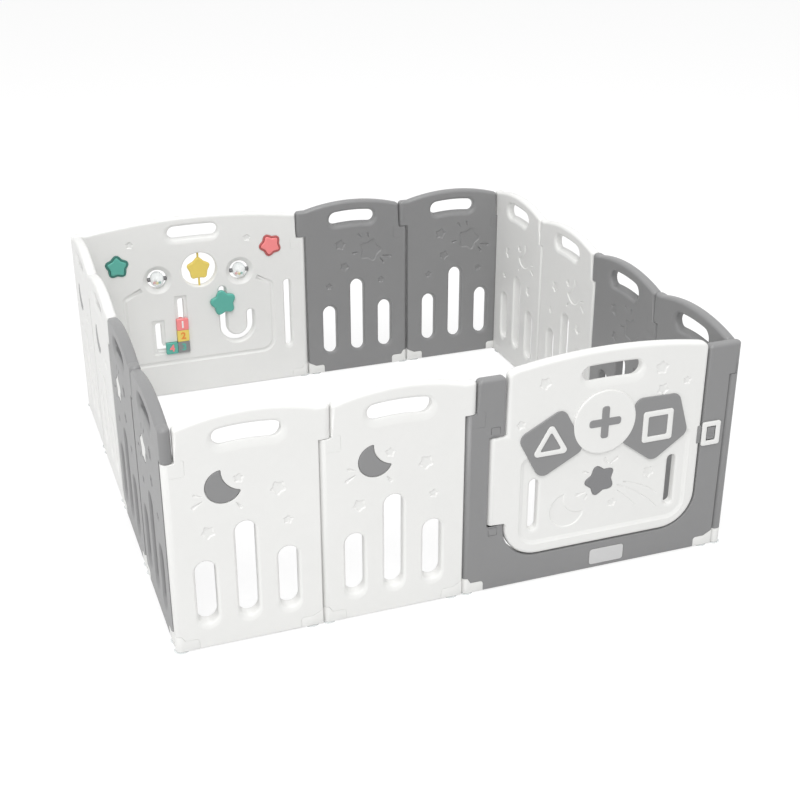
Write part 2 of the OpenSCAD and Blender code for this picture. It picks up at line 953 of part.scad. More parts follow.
module activity_panel() {
    color(white)
        difference() {
            hinged_board(double)
                board_2d(double, play_mid, play_arch_h, play_arch_r);
            hand_slot(play_mid, play_arch_h, play_arch_r, play_hand_drop);
            for (x = [-roller_x, roller_x])
                translate([play_mid - roller_shift + x, 0, roller_h]) {
                    funnel(roller_hole_r, roller_funnel_r);
                    rotate([0, 90, 0])
                        cylinder(r = axle_r + pin_play, h = 2 * (roller_hole_r + axle_in + 1), center = true);
                }
            translate([play_mid - spin_shift, 0, spin_h]) {
                funnel(spin_hole_r, spin_hole_r + 3);
                cylinder(r = axle_r + pin_play, h = 2 * (spin_hole_r + axle_in + 1), center = true);
            }
            plate(-half - over, half + over) {
                j_2d(0);
                slit_2d();
            }
            plate(half - 4, half + over)
                j_2d(j_flare);
            plate(half - track_sunk, half + over)
                track_2d();
            plate(button_floor, half + over)
                both_buttons_2d(deco_gap);
            translate([play_mid - far_x, 0, 0])
                waisted_slot(far_w, far_low, far_top, 6, 14);
        }
}

// Rims stand on the floor of their seats and hold the buttons' flanges from above.
module button_rims() {
    flange_top = button_floor + button_travel + flange_t + 2 * button_play;
    color(dark_teal)
        difference() {
            plate(button_floor, half + rim_rise)
                both_buttons_2d(0);
            plate(button_floor - over, flange_top)
                both_buttons_2d(-button_wall);
            plate(button_floor - over, half + rim_rise + over)
                both_buttons_2d(-button_rim);
        }
}

module star_button(at, turn, tint) {
    low = button_floor + button_travel + button_play;
    color(tint) {
        plate(low, low + flange_t)
            button_2d(at, turn, -button_wall - button_play);
        plate(low, half + rim_rise + button_rise)
            button_2d(at, turn, -button_rim - button_play);
    }
}

module rattle_roller(side) {
    wide = sqrt(pow(roller_hole_r, 2) - pow(roller_r * 0.6, 2)) - 3;
    color(clear)
        translate([play_mid - roller_shift + side * roller_x, 0, roller_h])
            rotate([0, 90, 0])
                rotate_extrude()
                    polygon([
                        [0, -roller_hole_r - axle_in], [axle_r, -roller_hole_r - axle_in],
                        [axle_r, -wide], [roller_r * 0.6, -wide], [roller_r, -wide * 0.4],
                        [roller_r, wide * 0.4], [roller_r * 0.6, wide], [axle_r, wide],
                        [axle_r, roller_hole_r + axle_in], [0, roller_hole_r + axle_in],
                    ]);
}

module spinning_star() {
    color(yellow)
        translate([play_mid - spin_shift, 0, spin_h]) {
            plate(-spin_t / 2, spin_t / 2)
                star_2d(spin_reach, valley = 0.72);
            cylinder(r = axle_r, h = 2 * (spin_hole_r + axle_in), center = true);
        }
}

// Stem through the panel with its washer behind, at the middle of a play piece
module stem(x, z, from) {
    translate([x, 0, z])
        rotate([90, 0, 0]) {
            translate([0, 0, -from])
                cylinder(r = stem_r, h = from + half + washer_gap + washer_t);
            translate([0, 0, half + washer_gap])
                cylinder(r = washer_r, h = washer_t);
        }
}

module slider_star() {
    color(teal) {
        plate(half + washer_gap, half + washer_gap + slider_t)
            translate([long_arm, slider_h])
                star_2d(slider_reach, turn = slider_turn);
        stem(long_arm, slider_h, half + slider_t / 2);
    }
}

module block(tint, column, row) {
    x = tall_track + column * block_step;
    z = block_low + row * block_step;
    color(tint) {
        plate(half - track_sunk + block_gap / 2, half + block_t)
            rounded_2d(x - block_s / 2, z, x + block_s / 2, z + block_s, 4);
        stem(x, z + block_s / 2, half);
    }
}

// ---------------------------------------------------------------- drawing

on_side(0, 0) standard_panel(white, "moon");  // front_panel_1
on_side(0, 1) standard_panel(white, "moon");  // front_panel_2
on_side(1, 0) standard_panel(grey, "star");  // right_panel_1
on_side(1, 1) standard_panel(grey, "star");  // right_panel_2
on_side(1, 2) standard_panel(white, "moon");  // right_panel_3
on_side(1, 3) standard_panel(white, "moon");  // right_panel_4
on_side(2, 0) standard_panel(grey, "star");  // back_panel_1
on_side(2, 1) standard_panel(grey, "star");  // back_panel_2
on_side(3, 3) standard_panel(grey, "star");  // left_panel_1
on_side(3, 2) standard_panel(grey, "star");  // left_panel_2
on_side(3, 1) standard_panel(white, "moon");  // left_panel_3
on_side(3, 0) standard_panel(white, "moon");  // left_panel_4
on_side(0, 0) decoration(grey, "moon");  // front_moon_1
on_side(0, 1) decoration(grey, "moon");  // front_moon_2
on_side(1, 0) decoration(white, "star");  // right_star_1
on_side(1, 1) decoration(white, "star");  // right_star_2
on_side(1, 2) decoration(grey, "moon");  // right_moon_3
on_side(1, 3) decoration(grey, "moon");  // right_moon_4
on_side(2, 0) decoration(white, "star");  // back_star_1
on_side(2, 1) decoration(white, "star");  // back_star_2
on_side(3, 3) decoration(white, "star");  // left_star_1
on_side(3, 2) decoration(white, "star");  // left_star_2
on_side(3, 1) decoration(grey, "moon");  // left_moon_3
on_side(3, 0) decoration(grey, "moon");  // left_moon_4
on_side(0, 0) feet(pitch);  // front_feet_1
on_side(0, 1) feet(pitch);  // front_feet_2
on_side(1, 0) feet(pitch);  // right_feet_1
on_side(1, 1) feet(pitch);  // right_feet_2
on_side(1, 2) feet(pitch);  // right_feet_3
on_side(1, 3) feet(pitch);  // right_feet_4
on_side(2, 0) feet(pitch);  // back_feet_1
on_side(2, 1) feet(pitch);  // back_feet_2
on_side(3, 3) feet(pitch);  // left_feet_1
on_side(3, 2) feet(pitch);  // left_feet_2
on_side(3, 1) feet(pitch);  // left_feet_3
on_side(3, 0) feet(pitch);  // left_feet_4
on_side(0, 2) feet(double);  // gate_feet
on_side(2, 2) feet(double);  // activity_feet
on_side(0, 2) gate_frame();
on_side(0, 2) gate_door();
on_side(0, 2) gate_hinge_pins();
on_side(0, 2) square_badge();
on_side(0, 2) disc_badge();
on_side(0, 2) pentagon_badge();
on_side(0, 2) door_star();
on_side(0, 2) door_keeper();
on_side(0, 2) latch_slider();
on_side(0, 2) latch_grip();
on_side(2, 2) activity_panel();
on_side(2, 2) button_rims();
on_side(2, 2) star_button(button_at, button_turn, teal);  // teal_button
on_side(2, 2) star_button(red_button_at, red_button_turn, red);  // red_button
on_side(2, 2) rattle_roller(1);  // left_roller
on_side(2, 2) rattle_roller(-1);  // right_roller
on_side(2, 2) spinning_star();
on_side(2, 2) slider_star();
on_side(2, 2) block(red, 0, 2);  // red_block
on_side(2, 2) block(yellow, 0, 1);  // yellow_block
on_side(2, 2) block(grey, 0, 0);  // grey_block
on_side(2, 2) block(teal, 1, 0);  // teal_block
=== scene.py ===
"""Folding playpen of moulded plastic panels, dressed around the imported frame.

Every panel is shaped in its own drawing space, in millimetres: x runs from the panel's hinge
column towards its knuckle, y runs from the outer face (-15) to the inner face (+15), and z is
the height above the floor. A Place then sets the finished mesh on its side of the square.
"""

from __future__ import annotations

import logging
import math
from dataclasses import dataclass
from enum import Enum
from typing import Callable, Iterable, Sequence

import bmesh
import bpy
from mathutils import Matrix, Vector


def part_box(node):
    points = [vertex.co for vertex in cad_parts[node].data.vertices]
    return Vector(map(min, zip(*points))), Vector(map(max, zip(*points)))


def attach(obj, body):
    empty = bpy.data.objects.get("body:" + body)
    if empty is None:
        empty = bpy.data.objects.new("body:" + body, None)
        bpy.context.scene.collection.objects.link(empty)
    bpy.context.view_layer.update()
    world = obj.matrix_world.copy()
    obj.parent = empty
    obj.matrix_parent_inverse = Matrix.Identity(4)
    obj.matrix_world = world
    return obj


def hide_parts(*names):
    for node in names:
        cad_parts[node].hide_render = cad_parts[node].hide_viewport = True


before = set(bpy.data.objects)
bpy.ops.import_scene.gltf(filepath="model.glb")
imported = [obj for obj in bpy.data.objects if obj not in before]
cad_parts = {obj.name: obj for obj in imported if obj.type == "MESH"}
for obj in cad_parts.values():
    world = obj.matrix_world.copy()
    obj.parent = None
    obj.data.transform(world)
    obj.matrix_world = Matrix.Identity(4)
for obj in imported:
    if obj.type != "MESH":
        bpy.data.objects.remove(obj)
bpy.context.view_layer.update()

log = logging.getLogger("playpen")

Point = tuple[float, float]
Triple = tuple[float, float, float]
Corner = Triple  # x, z and the radius of the fillet
Outline = list[Point]
Loop = tuple[Outline, float]
Shape = Callable[[float], Outline]
Edge = bmesh.types.BMEdge
EdgeTest = Callable[[Edge], bool]

MM = 0.001
SNAP = 0.01  # millimetres within which two coordinates count as the same
FIT = 0.4  # clearance between a board and the connectors let into it, in millimetres


class Side(Enum):
    """The two faces of a panel."""

    OUTER = -1
    INNER = 1


class Emblem(Enum):
    """The piece that is pressed into a standard panel."""

    MOON = "moon"
    STAR = "star"


# -------- sizes


@dataclass(frozen=True)
class RingSizes:
    """Sizes that all panels share, in millimetres, read off the frame.

    Attributes:
        pitch: distance between the two hinge axes of a standard panel.
        half: half the thickness of a panel.
        lift: height of the panels' lower edge.
        shoulder: height of the shoulders.
        step: height of the step between a column and the knuckle above it.
        seam: gap between a flat end and the next column.
        ledge_gap: half the upright gap between a knuckle and a column.
    """

    COLUMN = 521.0  # height of a column above the panels' lower edge

    pitch: float
    half: float
    lift: float
    shoulder: float
    step: float
    seam: float = 2.0
    ledge_gap: float = 1.0

    @classmethod
    def from_frame(cls) -> RingSizes:
        """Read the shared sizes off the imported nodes' boxes."""
        first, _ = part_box("front_panel_1")
        second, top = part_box("front_panel_2")
        _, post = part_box("gate_frame")
        lift = first.z / MM
        return cls(
            pitch=(second.x - first.x) / MM, half=(top.y - second.y) / MM / 2, lift=lift,
            shoulder=post.z / MM, step=lift + cls.COLUMN,
        )

    @property
    def free(self) -> float:
        """Distance of a flat end from the hinge axis beside it."""
        return self.half + self.seam

    def knuckle(self, length: float) -> list[Corner]:
        """Corners of the knuckle of a panel, from its underside up to the shoulder."""
        low = self.step + self.ledge_gap
        far = length + self.half
        return [(length - self.free, low, 0), (far, low, 0), (far, self.shoulder, 0)]

    def column_top(self) -> list[Corner]:
        """Corners of the top of a hinge column, from the board outwards."""
        top = self.step - self.ledge_gap
        return [(self.free, top, 0), (-self.half, top, 0)]


# -------- outlines


class Draw:
    """Outlines in a panel's elevation, all running anticlockwise."""

    @staticmethod
    def polar(x: float, z: float, r: float, angle: float) -> Point:
        """The point at a distance r from (x, z), in the direction of an angle in degrees."""
        a = math.radians(angle)
        return x + r * math.cos(a), z + r * math.sin(a)

    @staticmethod
    def arc(x: float, z: float, r: float, a0: float, a1: float, steps: int) -> Outline:
        """Points along an arc from angle a0 to a1, in degrees, both ends included."""
        return [Draw.polar(x, z, r, a0 + (a1 - a0) * i / steps) for i in range(steps + 1)]

    @staticmethod
    def circle(x: float, z: float, r: float, steps: int = 48) -> Outline:
        """A full circle."""
        return Draw.arc(x, z, r, 0, 360, steps)[:-1]

    @staticmethod
    def filleted(corners: Sequence[Corner], steps: int = 5) -> Outline:
        """A polygon whose corners are rounded.

        Args:
            corners: x, z and fillet radius of each corner.
            steps: segments in each fillet.

        Returns:
            The outline, with the corners of radius 0 left sharp.
        """
        out: Outline = []
        for i, (x, z, r) in enumerate(corners):
            if r <= 0:
                out.append((x, z))
                continue
            here = Vector((x, z))
            back = (Vector(corners[i - 1][:2]) - here).normalized()
            ahead = (Vector(corners[(i + 1) % len(corners)][:2]) - here).normalized()
            angle = back.angle(ahead)
            reach = r / math.tan(angle / 2)
            centre = here + (back + ahead).normalized() * (r / math.sin(angle / 2))
            start = here + back * reach - centre
            sweep = start.angle_signed(here + ahead * reach - centre)
            for k in range(steps + 1):
                turn = Matrix.Rotation(-sweep * k / steps, 2)
                out.append(tuple(centre + turn @ start))
        return out

    @staticmethod
    def box(x0: float, x1: float, z0: float, z1: float, r: float, steps: int) -> Outline:
        """A rectangle from (x0, z0) to (x1, z1) whose corners are rounded by r."""
        return Draw.filleted([(x0, z0, r), (x1, z0, r), (x1, z1, r), (x0, z1, r)], steps)

    @staticmethod
    def ngon(x: float, z: float, sides: int, reach: float, r: float, turn: float) -> Outline:
        """A regular polygon with round corners.

        Args:
            x: its middle.
            z: height of its middle.
            sides: how many sides it has.
            reach: distance from its middle to the centre of a corner's rounding.
            r: radius of that rounding.
            turn: direction of the first corner, in degrees.

        Returns:
            The outline.
        """
        sharp = reach + r / math.cos(math.pi / sides)
        angles = (turn + 360 / sides * i for i in range(sides))
        return Draw.filleted([(*Draw.polar(x, z, sharp, a), r) for a in angles], 9)

    @staticmethod
    def stadium(x: float, z0: float, z1: float, width: float) -> Outline:
        """An upright slot with round ends, centred on x."""
        r = width / 2
        return Draw.arc(x, z1 - r, r, 0, 180, 12) + Draw.arc(x, z0 + r, r, 180, 360, 12)

    @staticmethod
    def bent(x: float, z: float, radius: float, half_l: float, half_h: float) -> Outline:
        """A lying slot that follows an arc about a centre below it.

        Args:
            x: middle of the slot.
            z: height of its middle line at x.
            radius: radius of the middle line.
            half_l: half the slot's whole length.
            half_h: half its height.

        Returns:
            The outline.
        """
        end = math.degrees(math.asin((half_l - half_h) / radius))
        cz = z - radius
        left, right = (Draw.polar(x, cz, radius, a) for a in (90 + end, 90 - end))
        out = Draw.arc(x, cz, radius + half_h, 90 - end, 90 + end, 16)
        out += Draw.arc(*left, half_h, 90 + end, 270 + end, 10)[1:-1]
        out += Draw.arc(x, cz, radius - half_h, 90 + end, 90 - end, 16)
        out += Draw.arc(*right, half_h, -90 - end, 90 - end, 10)[1:-1]
        return out

    @staticmethod
    def star(
        x: float, z: float, reach: float, turn: float = 90.0, valley: float = 0.62,
        blunt: float = 0.25, grow: float = 0.0,
    ) -> Outline:
        """A five-pointed star with round tips and softened valleys.

        Args:
            x: middle of the star.
            z: height of its middle.
            reach: distance from the middle to a tip's end.
            turn: direction of the first tip, in degrees.
            valley: distance of a valley as a share of the sharp tip's.
            blunt: a tip's radius as a share of the reach.
            grow: how far every edge is moved outwards.

        Returns:
            The outline.
        """
        tip = reach * blunt
        step = math.radians(36)
        lean = math.atan2(valley * math.sin(step), 1 - valley * math.cos(step))
        sharp = reach - tip + (tip + grow) / math.sin(lean)
        tips = (0, sharp, max(tip + grow, 0.3))
        valleys = (36, valley * sharp, max(reach * 0.12 - grow, 0.3))
        corners = [
            (*Draw.polar(x, z, r, turn + 72 * i + angle), fillet)
            for i in range(5)
            for angle, r, fillet in (tips, valleys)
        ]
        return Draw.filleted(corners, 4)

    @staticmethod
    def crescent(
        x: float, z: float, r: float, cut_r: float, shift: float, turn: float, horn: float,
        grow: float = 0.0,
    ) -> Outline:
        """A crescent with round horns.

        Args:
            x: middle of the outer circle.
            z: height of that middle.
            r: radius of the outer circle.
            cut_r: radius of the hollow.
            shift: distance between the two middles.
            turn: direction of the hollow, in degrees.
            horn: radius of the horns' ends.
            grow: how far the whole outline is moved outwards.

        Returns:
            The outline.
        """
        r, cut_r, horn = r + grow, cut_r - grow, max(horn + grow, 0.2)
        px = (shift**2 + (r - horn) ** 2 - (cut_r + horn) ** 2) / (2 * shift)
        py = math.sqrt((r - horn) ** 2 - px**2)
        out_a = math.degrees(math.atan2(py, px))
        cut_a = math.degrees(math.atan2(py, px - shift))
        end_a = math.degrees(math.atan2(py, shift - px))
        out = Draw.arc(0, 0, r, out_a, 360 - out_a, 36)
        out += Draw.arc(px, -py, horn, -out_a, end_a, 6)[1:-1]
        out += Draw.arc(shift, 0, cut_r, 360 - cut_a, cut_a, 24)
        out += Draw.arc(px, py, horn, -end_a, out_a, 6)[1:-1]
        around = Matrix.Rotation(math.radians(turn), 2)
        return [tuple(around @ Vector(p) + Vector((x, z))) for p in out]

    @staticmethod
    def drop(x0: float, z0: float, x1: float, z1: float, r: float, grow: float) -> Outline:
        """A wedge with one round end, which tapers to a blunt point.

        Args:
            x0: middle of the round end.
            z0: height of that middle.
            x1: the point.
            z1: height of the point.
            r: radius of the round end.
            grow: how far the whole outline is moved outwards.

        Returns:
            The outline.
        """
        axis = Vector((x1 - x0, z1 - z0))
        turn = math.degrees(math.atan2(axis.y, axis.x))
        out = Draw.arc(x0, z0, max(r + grow, 0.4), turn + 80, turn + 280, 8)
        return out + Draw.arc(x1, z1, max(r * 0.25 + grow, 0.15), turn - 80, turn + 80, 4)

    @staticmethod
    def stroke(path: Sequence[Point], width: float) -> Outline:
        """The outline of a line of even width.

        Args:
            path: points along the line, which stays open.
            width: width of the line.

        Returns:
            The outline.
        """
        left: Outline = []
        right: Outline = []
        for i, (x, z) in enumerate(path):
            before = Vector(path[max(i - 1, 0)])
            after = Vector(path[min(i + 1, len(path) - 1)])
            along = (after - before).normalized() * width / 2
            left.append((x - along.y, z + along.x))
            right.append((x + along.y, z - along.x))
        return right + left[::-1]

    @staticmethod
    def grown(outline: Outline, by: float) -> Outline:
        """The outline with every edge moved.

        Args:
            outline: the outline.
            by: how far its edges go outwards, or inwards where it is negative.

        Returns:
            An outline of as many points.
        """
        out: Outline = []
        count = len(outline)
        for i in range(count):
            here = Vector(outline[i])
            a = (here - Vector(outline[i - 1])).normalized()
            b = (Vector(outline[(i + 1) % count]) - here).normalized()
            normal = Vector((a.y + b.y, -a.x - b.x))
            if normal.length < 1e-9:
                normal = Vector((a.y, -a.x))
            normal.normalize()
            share = max(normal.dot(Vector((a.y, -a.x))), 0.35)
            out.append(tuple(here + normal * by / share))
        return out

    @staticmethod
    def mixed(a: Outline, b: Outline, t: float) -> Outline:
        """A share t of the way from outline a to outline b."""
        return [(ax + (bx - ax) * t, az + (bz - az) * t) for (ax, az), (bx, bz) in zip(a, b)]

    # The next five give shapes: outlines that can be drawn at any growth.

    @staticmethod
    def star_shape(*sizes: float) -> Shape:
        """A star, sized as star() is."""
        return lambda grow: Draw.star(*sizes, grow=grow)

    @staticmethod
    def crescent_shape(*sizes: float) -> Shape:
        """A crescent, sized as crescent() is."""
        return lambda grow: Draw.crescent(*sizes, grow=grow)

    @staticmethod
    def drop_shape(*sizes: float) -> Shape:
        """A drop, sized as drop() is."""
        return lambda grow: Draw.drop(*sizes, grow=grow)

    @staticmethod
    def line_shape(path: Sequence[Point], width: float) -> Shape:
        """A line of even width."""
        return lambda grow: Draw.stroke(path, max(width + 2 * grow, 0.3))

    @staticmethod
    def fixed(outline: Outline) -> Shape:
        """An outline without narrow places, grown point by point."""
        return lambda grow: Draw.grown(outline, grow)


@dataclass(frozen=True)
class Arch:
    """The arched top of a board.

    Attributes:
        mid: where the peak is.
        top: height of the peak.
        radius: radius of the arch.
    """

    mid: float
    top: float
    radius: float

    def at(self, x: float) -> float:
        """Height of the arch at x."""
        return self.top - self.radius + math.sqrt(self.radius**2 - (x - self.mid) ** 2)

    def corners(self, x0: float, x1: float, steps: int) -> list[Corner]:
        """Sharp corners along the arch from x0 to x1, both ends included."""
        along = (x0 + (x1 - x0) * i / steps for i in range(steps + 1))
        return [(x, self.at(x), 0.0) for x in along]

    def hand_slot(self, rows: Sequence[Sequence[float]], level: bool = False) -> list[Outline]:
        """Lips and waists of a hand slot, from the outer face to the inner one.

        Args:
            rows: each outline's shift from the peak, its depth under it, half its length and
                half its height.
            level: whether the slot keeps the arch's own radius instead of its centre.

        Returns:
            The outlines.
        """
        outlines = []
        for shift, down, *halves in rows:
            radius = self.radius if level else self.radius - down
            outlines.append(Draw.bent(self.mid + shift, self.top - down, radius, *halves))
        return outlines


# -------- meshes


def upright(edge: Edge) -> bool:
    """Whether an edge runs straight up."""
    a, b = (v.co for v in edge.verts)
    return abs(a.x - b.x) < SNAP and abs(a.y - b.y) < SNAP


def crosswise(edge: Edge) -> bool:
    """Whether an edge runs through the board's thickness, at one x."""
    a, b = (v.co for v in edge.verts)
    return abs(a.y - b.y) > SNAP and abs(a.x - b.x) < SNAP


def upright_at(edge: Edge, x: float) -> bool:
    """Whether an edge runs straight up at x."""
    return upright(edge) and abs(edge.verts[0].co.x - x) < SNAP


def lowest(edge: Edge) -> float:
    """Height of an edge's lower end."""
    return min(v.co.z for v in edge.verts)


def highest(edge: Edge) -> float:
    """Height of an edge's upper end."""
    return max(v.co.z for v in edge.verts)


def level_at(edge: Edge, z: float) -> bool:
    """Whether both ends of an edge are at the height z."""
    return all(abs(v.co.z - z) < 0.1 for v in edge.verts)


class Shell:
    """A skin in the making: a bmesh that is shaped step by step in a panel's drawing space."""

    WELD = 0.02
    SLIVER = 0.005

    def __init__(self) -> None:
        """Start with an empty skin."""
        self.bm = bmesh.new()

    @staticmethod
    def stacked(loops: Sequence[Loop]) -> Shell:
        """A closed skin over outlines at different depths, filled at both ends."""
        shell = Shell()
        for edges in shell.wall(loops):
            shell.fill(edges)
        return shell

    @staticmethod
    def ring(loops: Sequence[Loop]) -> Shell:
        """A closed skin over outlines of which the last is the first again."""
        shell = Shell()
        shell.wall(loops)
        bmesh.ops.remove_doubles(shell.bm, verts=shell.bm.verts, dist=0.001)
        return shell

    @staticmethod
    def roll(shape: Shape, face: float, reach: float, fall: float, steps: int) -> list[Loop]:
        """Loops over a quarter turn, from the edge of a plate to its face.

        Args:
            shape: the plate's outline at any growth.
            face: depth of the face.
            reach: how far the turn reaches in from the edge, negative where it reaches out.
            fall: how far it reaches back from the face, negative for an inner face.
            steps: how many loops it has.

        Returns:
            The loops, from the edge's to the face's.
        """
        loops: list[Loop] = []
        for i in range(1, steps + 1):
            a = math.pi / 2 * i / steps
            loops.append((shape(-reach * (1 - math.cos(a))), face + fall * (1 - math.sin(a))))
        return loops

    @staticmethod
    def rolled(
        shape: Shape, back: float, face: float, roll: float, fall: float, steps: int = 6,
        sole: float = 1.2,
    ) -> Shell:
        """A plate on a face, whose front edge rolls over.

        Args:
            shape: its outline at any growth.
            back: depth of its back.
            face: depth of its front.
            roll: how far the roll reaches in from the edge.
            fall: how deep the roll reaches, negative for a plate on an inner face.
            steps: loops over the roll.
            sole: how far the back's inner loop lies in from the edge.

        Returns:
            The plate.
        """
        loops: list[Loop] = [(shape(-sole), back), (shape(0), back), (shape(0), face + fall)]
        loops += Shell.roll(shape, face, roll, fall, steps)
        return Shell.stacked([*loops, (shape(-roll - 0.8), face)])

    @staticmethod
    def puffed(shape: Shape, back: float, face: float, crown: float) -> Shell:
        """A piece on an inner face, whose gently crowned front falls away by the crown."""
        return Shell.rolled(shape, back, face, crown * 1.4, -crown, 7, 1.0)

    @staticmethod
    def banded(outer: Outline, inner: Outline, back: float, face: float, roll: float) -> Shell:
        """A raised band between two outlines.

        Args:
            outer: its outer outline.
            inner: its inner outline, of as many points.
            back: depth of its back.
            face: depth of its front, further out than its back.
            roll: radius of its two front edges.

        Returns:
            The band.
        """
        loops: list[Loop] = [(outer, back), (outer, face + roll)]
        loops += Shell.roll(Draw.fixed(outer), face, roll, roll, 3)
        loops += Shell.roll(Draw.fixed(inner), face, -roll, roll, 3)[::-1]
        return Shell.ring([*loops, (inner, face + roll), (inner, back), (outer, back)])

    def slab(self, outline: Outline, y0: float, y1: float) -> None:
        """Raise a solid plate from an outline, from the depth y0 to the depth y1."""
        verts = [self.bm.verts.new((x, y0, z)) for x, z in outline]
        face = self.bm.faces.new(verts)
        raised = bmesh.ops.extrude_face_region(self.bm, geom=[face])["geom"]
        fresh = [g for g in raised if isinstance(g, bmesh.types.BMVert)]
        bmesh.ops.translate(self.bm, verts=fresh, vec=(0, y1 - y0, 0))
        bmesh.ops.recalc_face_normals(self.bm, faces=self.bm.faces)

    def round_edges(
        self, radius: float, segments: int, wanted: EdgeTest = lambda edge: True,
        least: float = 30.0, rim: bool = False,
    ) -> None:
        """Round the convex edges that are sharper than an angle.

        Args:
            radius: radius of the rounding.
            segments: faces across it.
            wanted: which of the sharp edges are rounded.
            least: smallest angle between the two faces, in degrees.
            rim: whether the radius is kept past short edges, for a rim without tight corners.
        """
        limit = math.radians(least)

        def sharp(e: Edge) -> bool:
            """Whether an edge is convex and sharper than the limit."""
            return len(e.link_faces) == 2 and e.calc_face_angle(0) > limit and e.is_convex

        edges = [e for e in self.bm.edges if sharp(e) and wanted(e)]
        if edges:
            bmesh.ops.bevel(
                self.bm, geom=edges, offset=radius, offset_type="OFFSET", affect="EDGES",
                segments=segments, profile=0.5, material=-1, clamp_overlap=not rim,
            )
            bmesh.ops.remove_doubles(self.bm, verts=self.bm.verts, dist=self.WELD)
            bmesh.ops.dissolve_degenerate(self.bm, edges=self.bm.edges, dist=self.SLIVER)

    def wall(self, loops: Sequence[Loop]) -> tuple[list, list]:
        """Join outlines at different depths by a skin.

        Args:
            loops: outlines of as many points each, with their depths.

        Returns:
            The edges of the first and of the last outline.
        """
        outline, y = loops[0]
        ring = [self.bm.verts.new((x, y, z)) for x, z in outline]
        edges = [self.bm.edges.new(pair) for pair in zip(ring, ring[1:] + ring[:1])]
        first = edges
        for outline, y in loops[1:]:
            made = bmesh.ops.extrude_edge_only(self.bm, edges=edges)["geom"]
            fresh = {g for g in made if isinstance(g, bmesh.types.BMVert)}
            ring = [
                next(e.other_vert(v) for e in v.link_edges if e.other_vert(v) in fresh)
                for v in ring
            ]
            for vert, (x, z) in zip(ring, outline):
                vert.co = (x, y, z)
            edges = [self.bm.edges.get(pair) for pair in zip(ring, ring[1:] + ring[:1])]
        return first, edges

    def fill(self, edges: Iterable[Edge]) -> None:
        """Close the flat region that one or more loops of edges bound."""
        bmesh.ops.triangle_fill(self.bm, use_beauty=True, use_dissolve=False, edges=list(edges))

    def spun(self, profile: Sequence[Point], steps: int = 40) -> None:
        """Turn a profile about the Z axis into a closed skin.

        Args:
            profile: radius and height of its points, from one end of the axis to the other.
            steps: faces round the axis.
        """
        verts = [self.bm.verts.new((r, 0, z)) for r, z in profile]
        edges = [self.bm.edges.new(pair) for pair in zip(verts, verts[1:])]
        bmesh.ops.spin(
            self.bm, geom=verts + edges, cent=(0, 0, 0), axis=(0, 0, 1), angle=math.tau,
            steps=steps, use_merge=True,
        )
        bmesh.ops.remove_doubles(self.bm, verts=self.bm.verts, dist=0.001)
        bmesh.ops.recalc_face_normals(self.bm, faces=self.bm.faces)

    def moved(self, matrix: Matrix) -> None:
        """Move everything that the skin holds so far."""
        bmesh.ops.transform(self.bm, matrix=matrix, verts=self.bm.verts)

    def to_mesh(self, name: str, matrix: Matrix) -> bpy.types.Mesh:
        """Turn the skin into a smooth mesh at its place, which uses the skin up.

        Args:
            name: the mesh's name.
            matrix: from drawing space to the mesh's own.

        Returns:
            The mesh.
        """
        bmesh.ops.recalc_face_normals(self.bm, faces=self.bm.faces)
        self.moved(matrix)
        for face in self.bm.faces:
            face.smooth = True
        mesh = bpy.data.meshes.new(name)
        self.bm.to_mesh(mesh)
        self.bm.free()
        return mesh


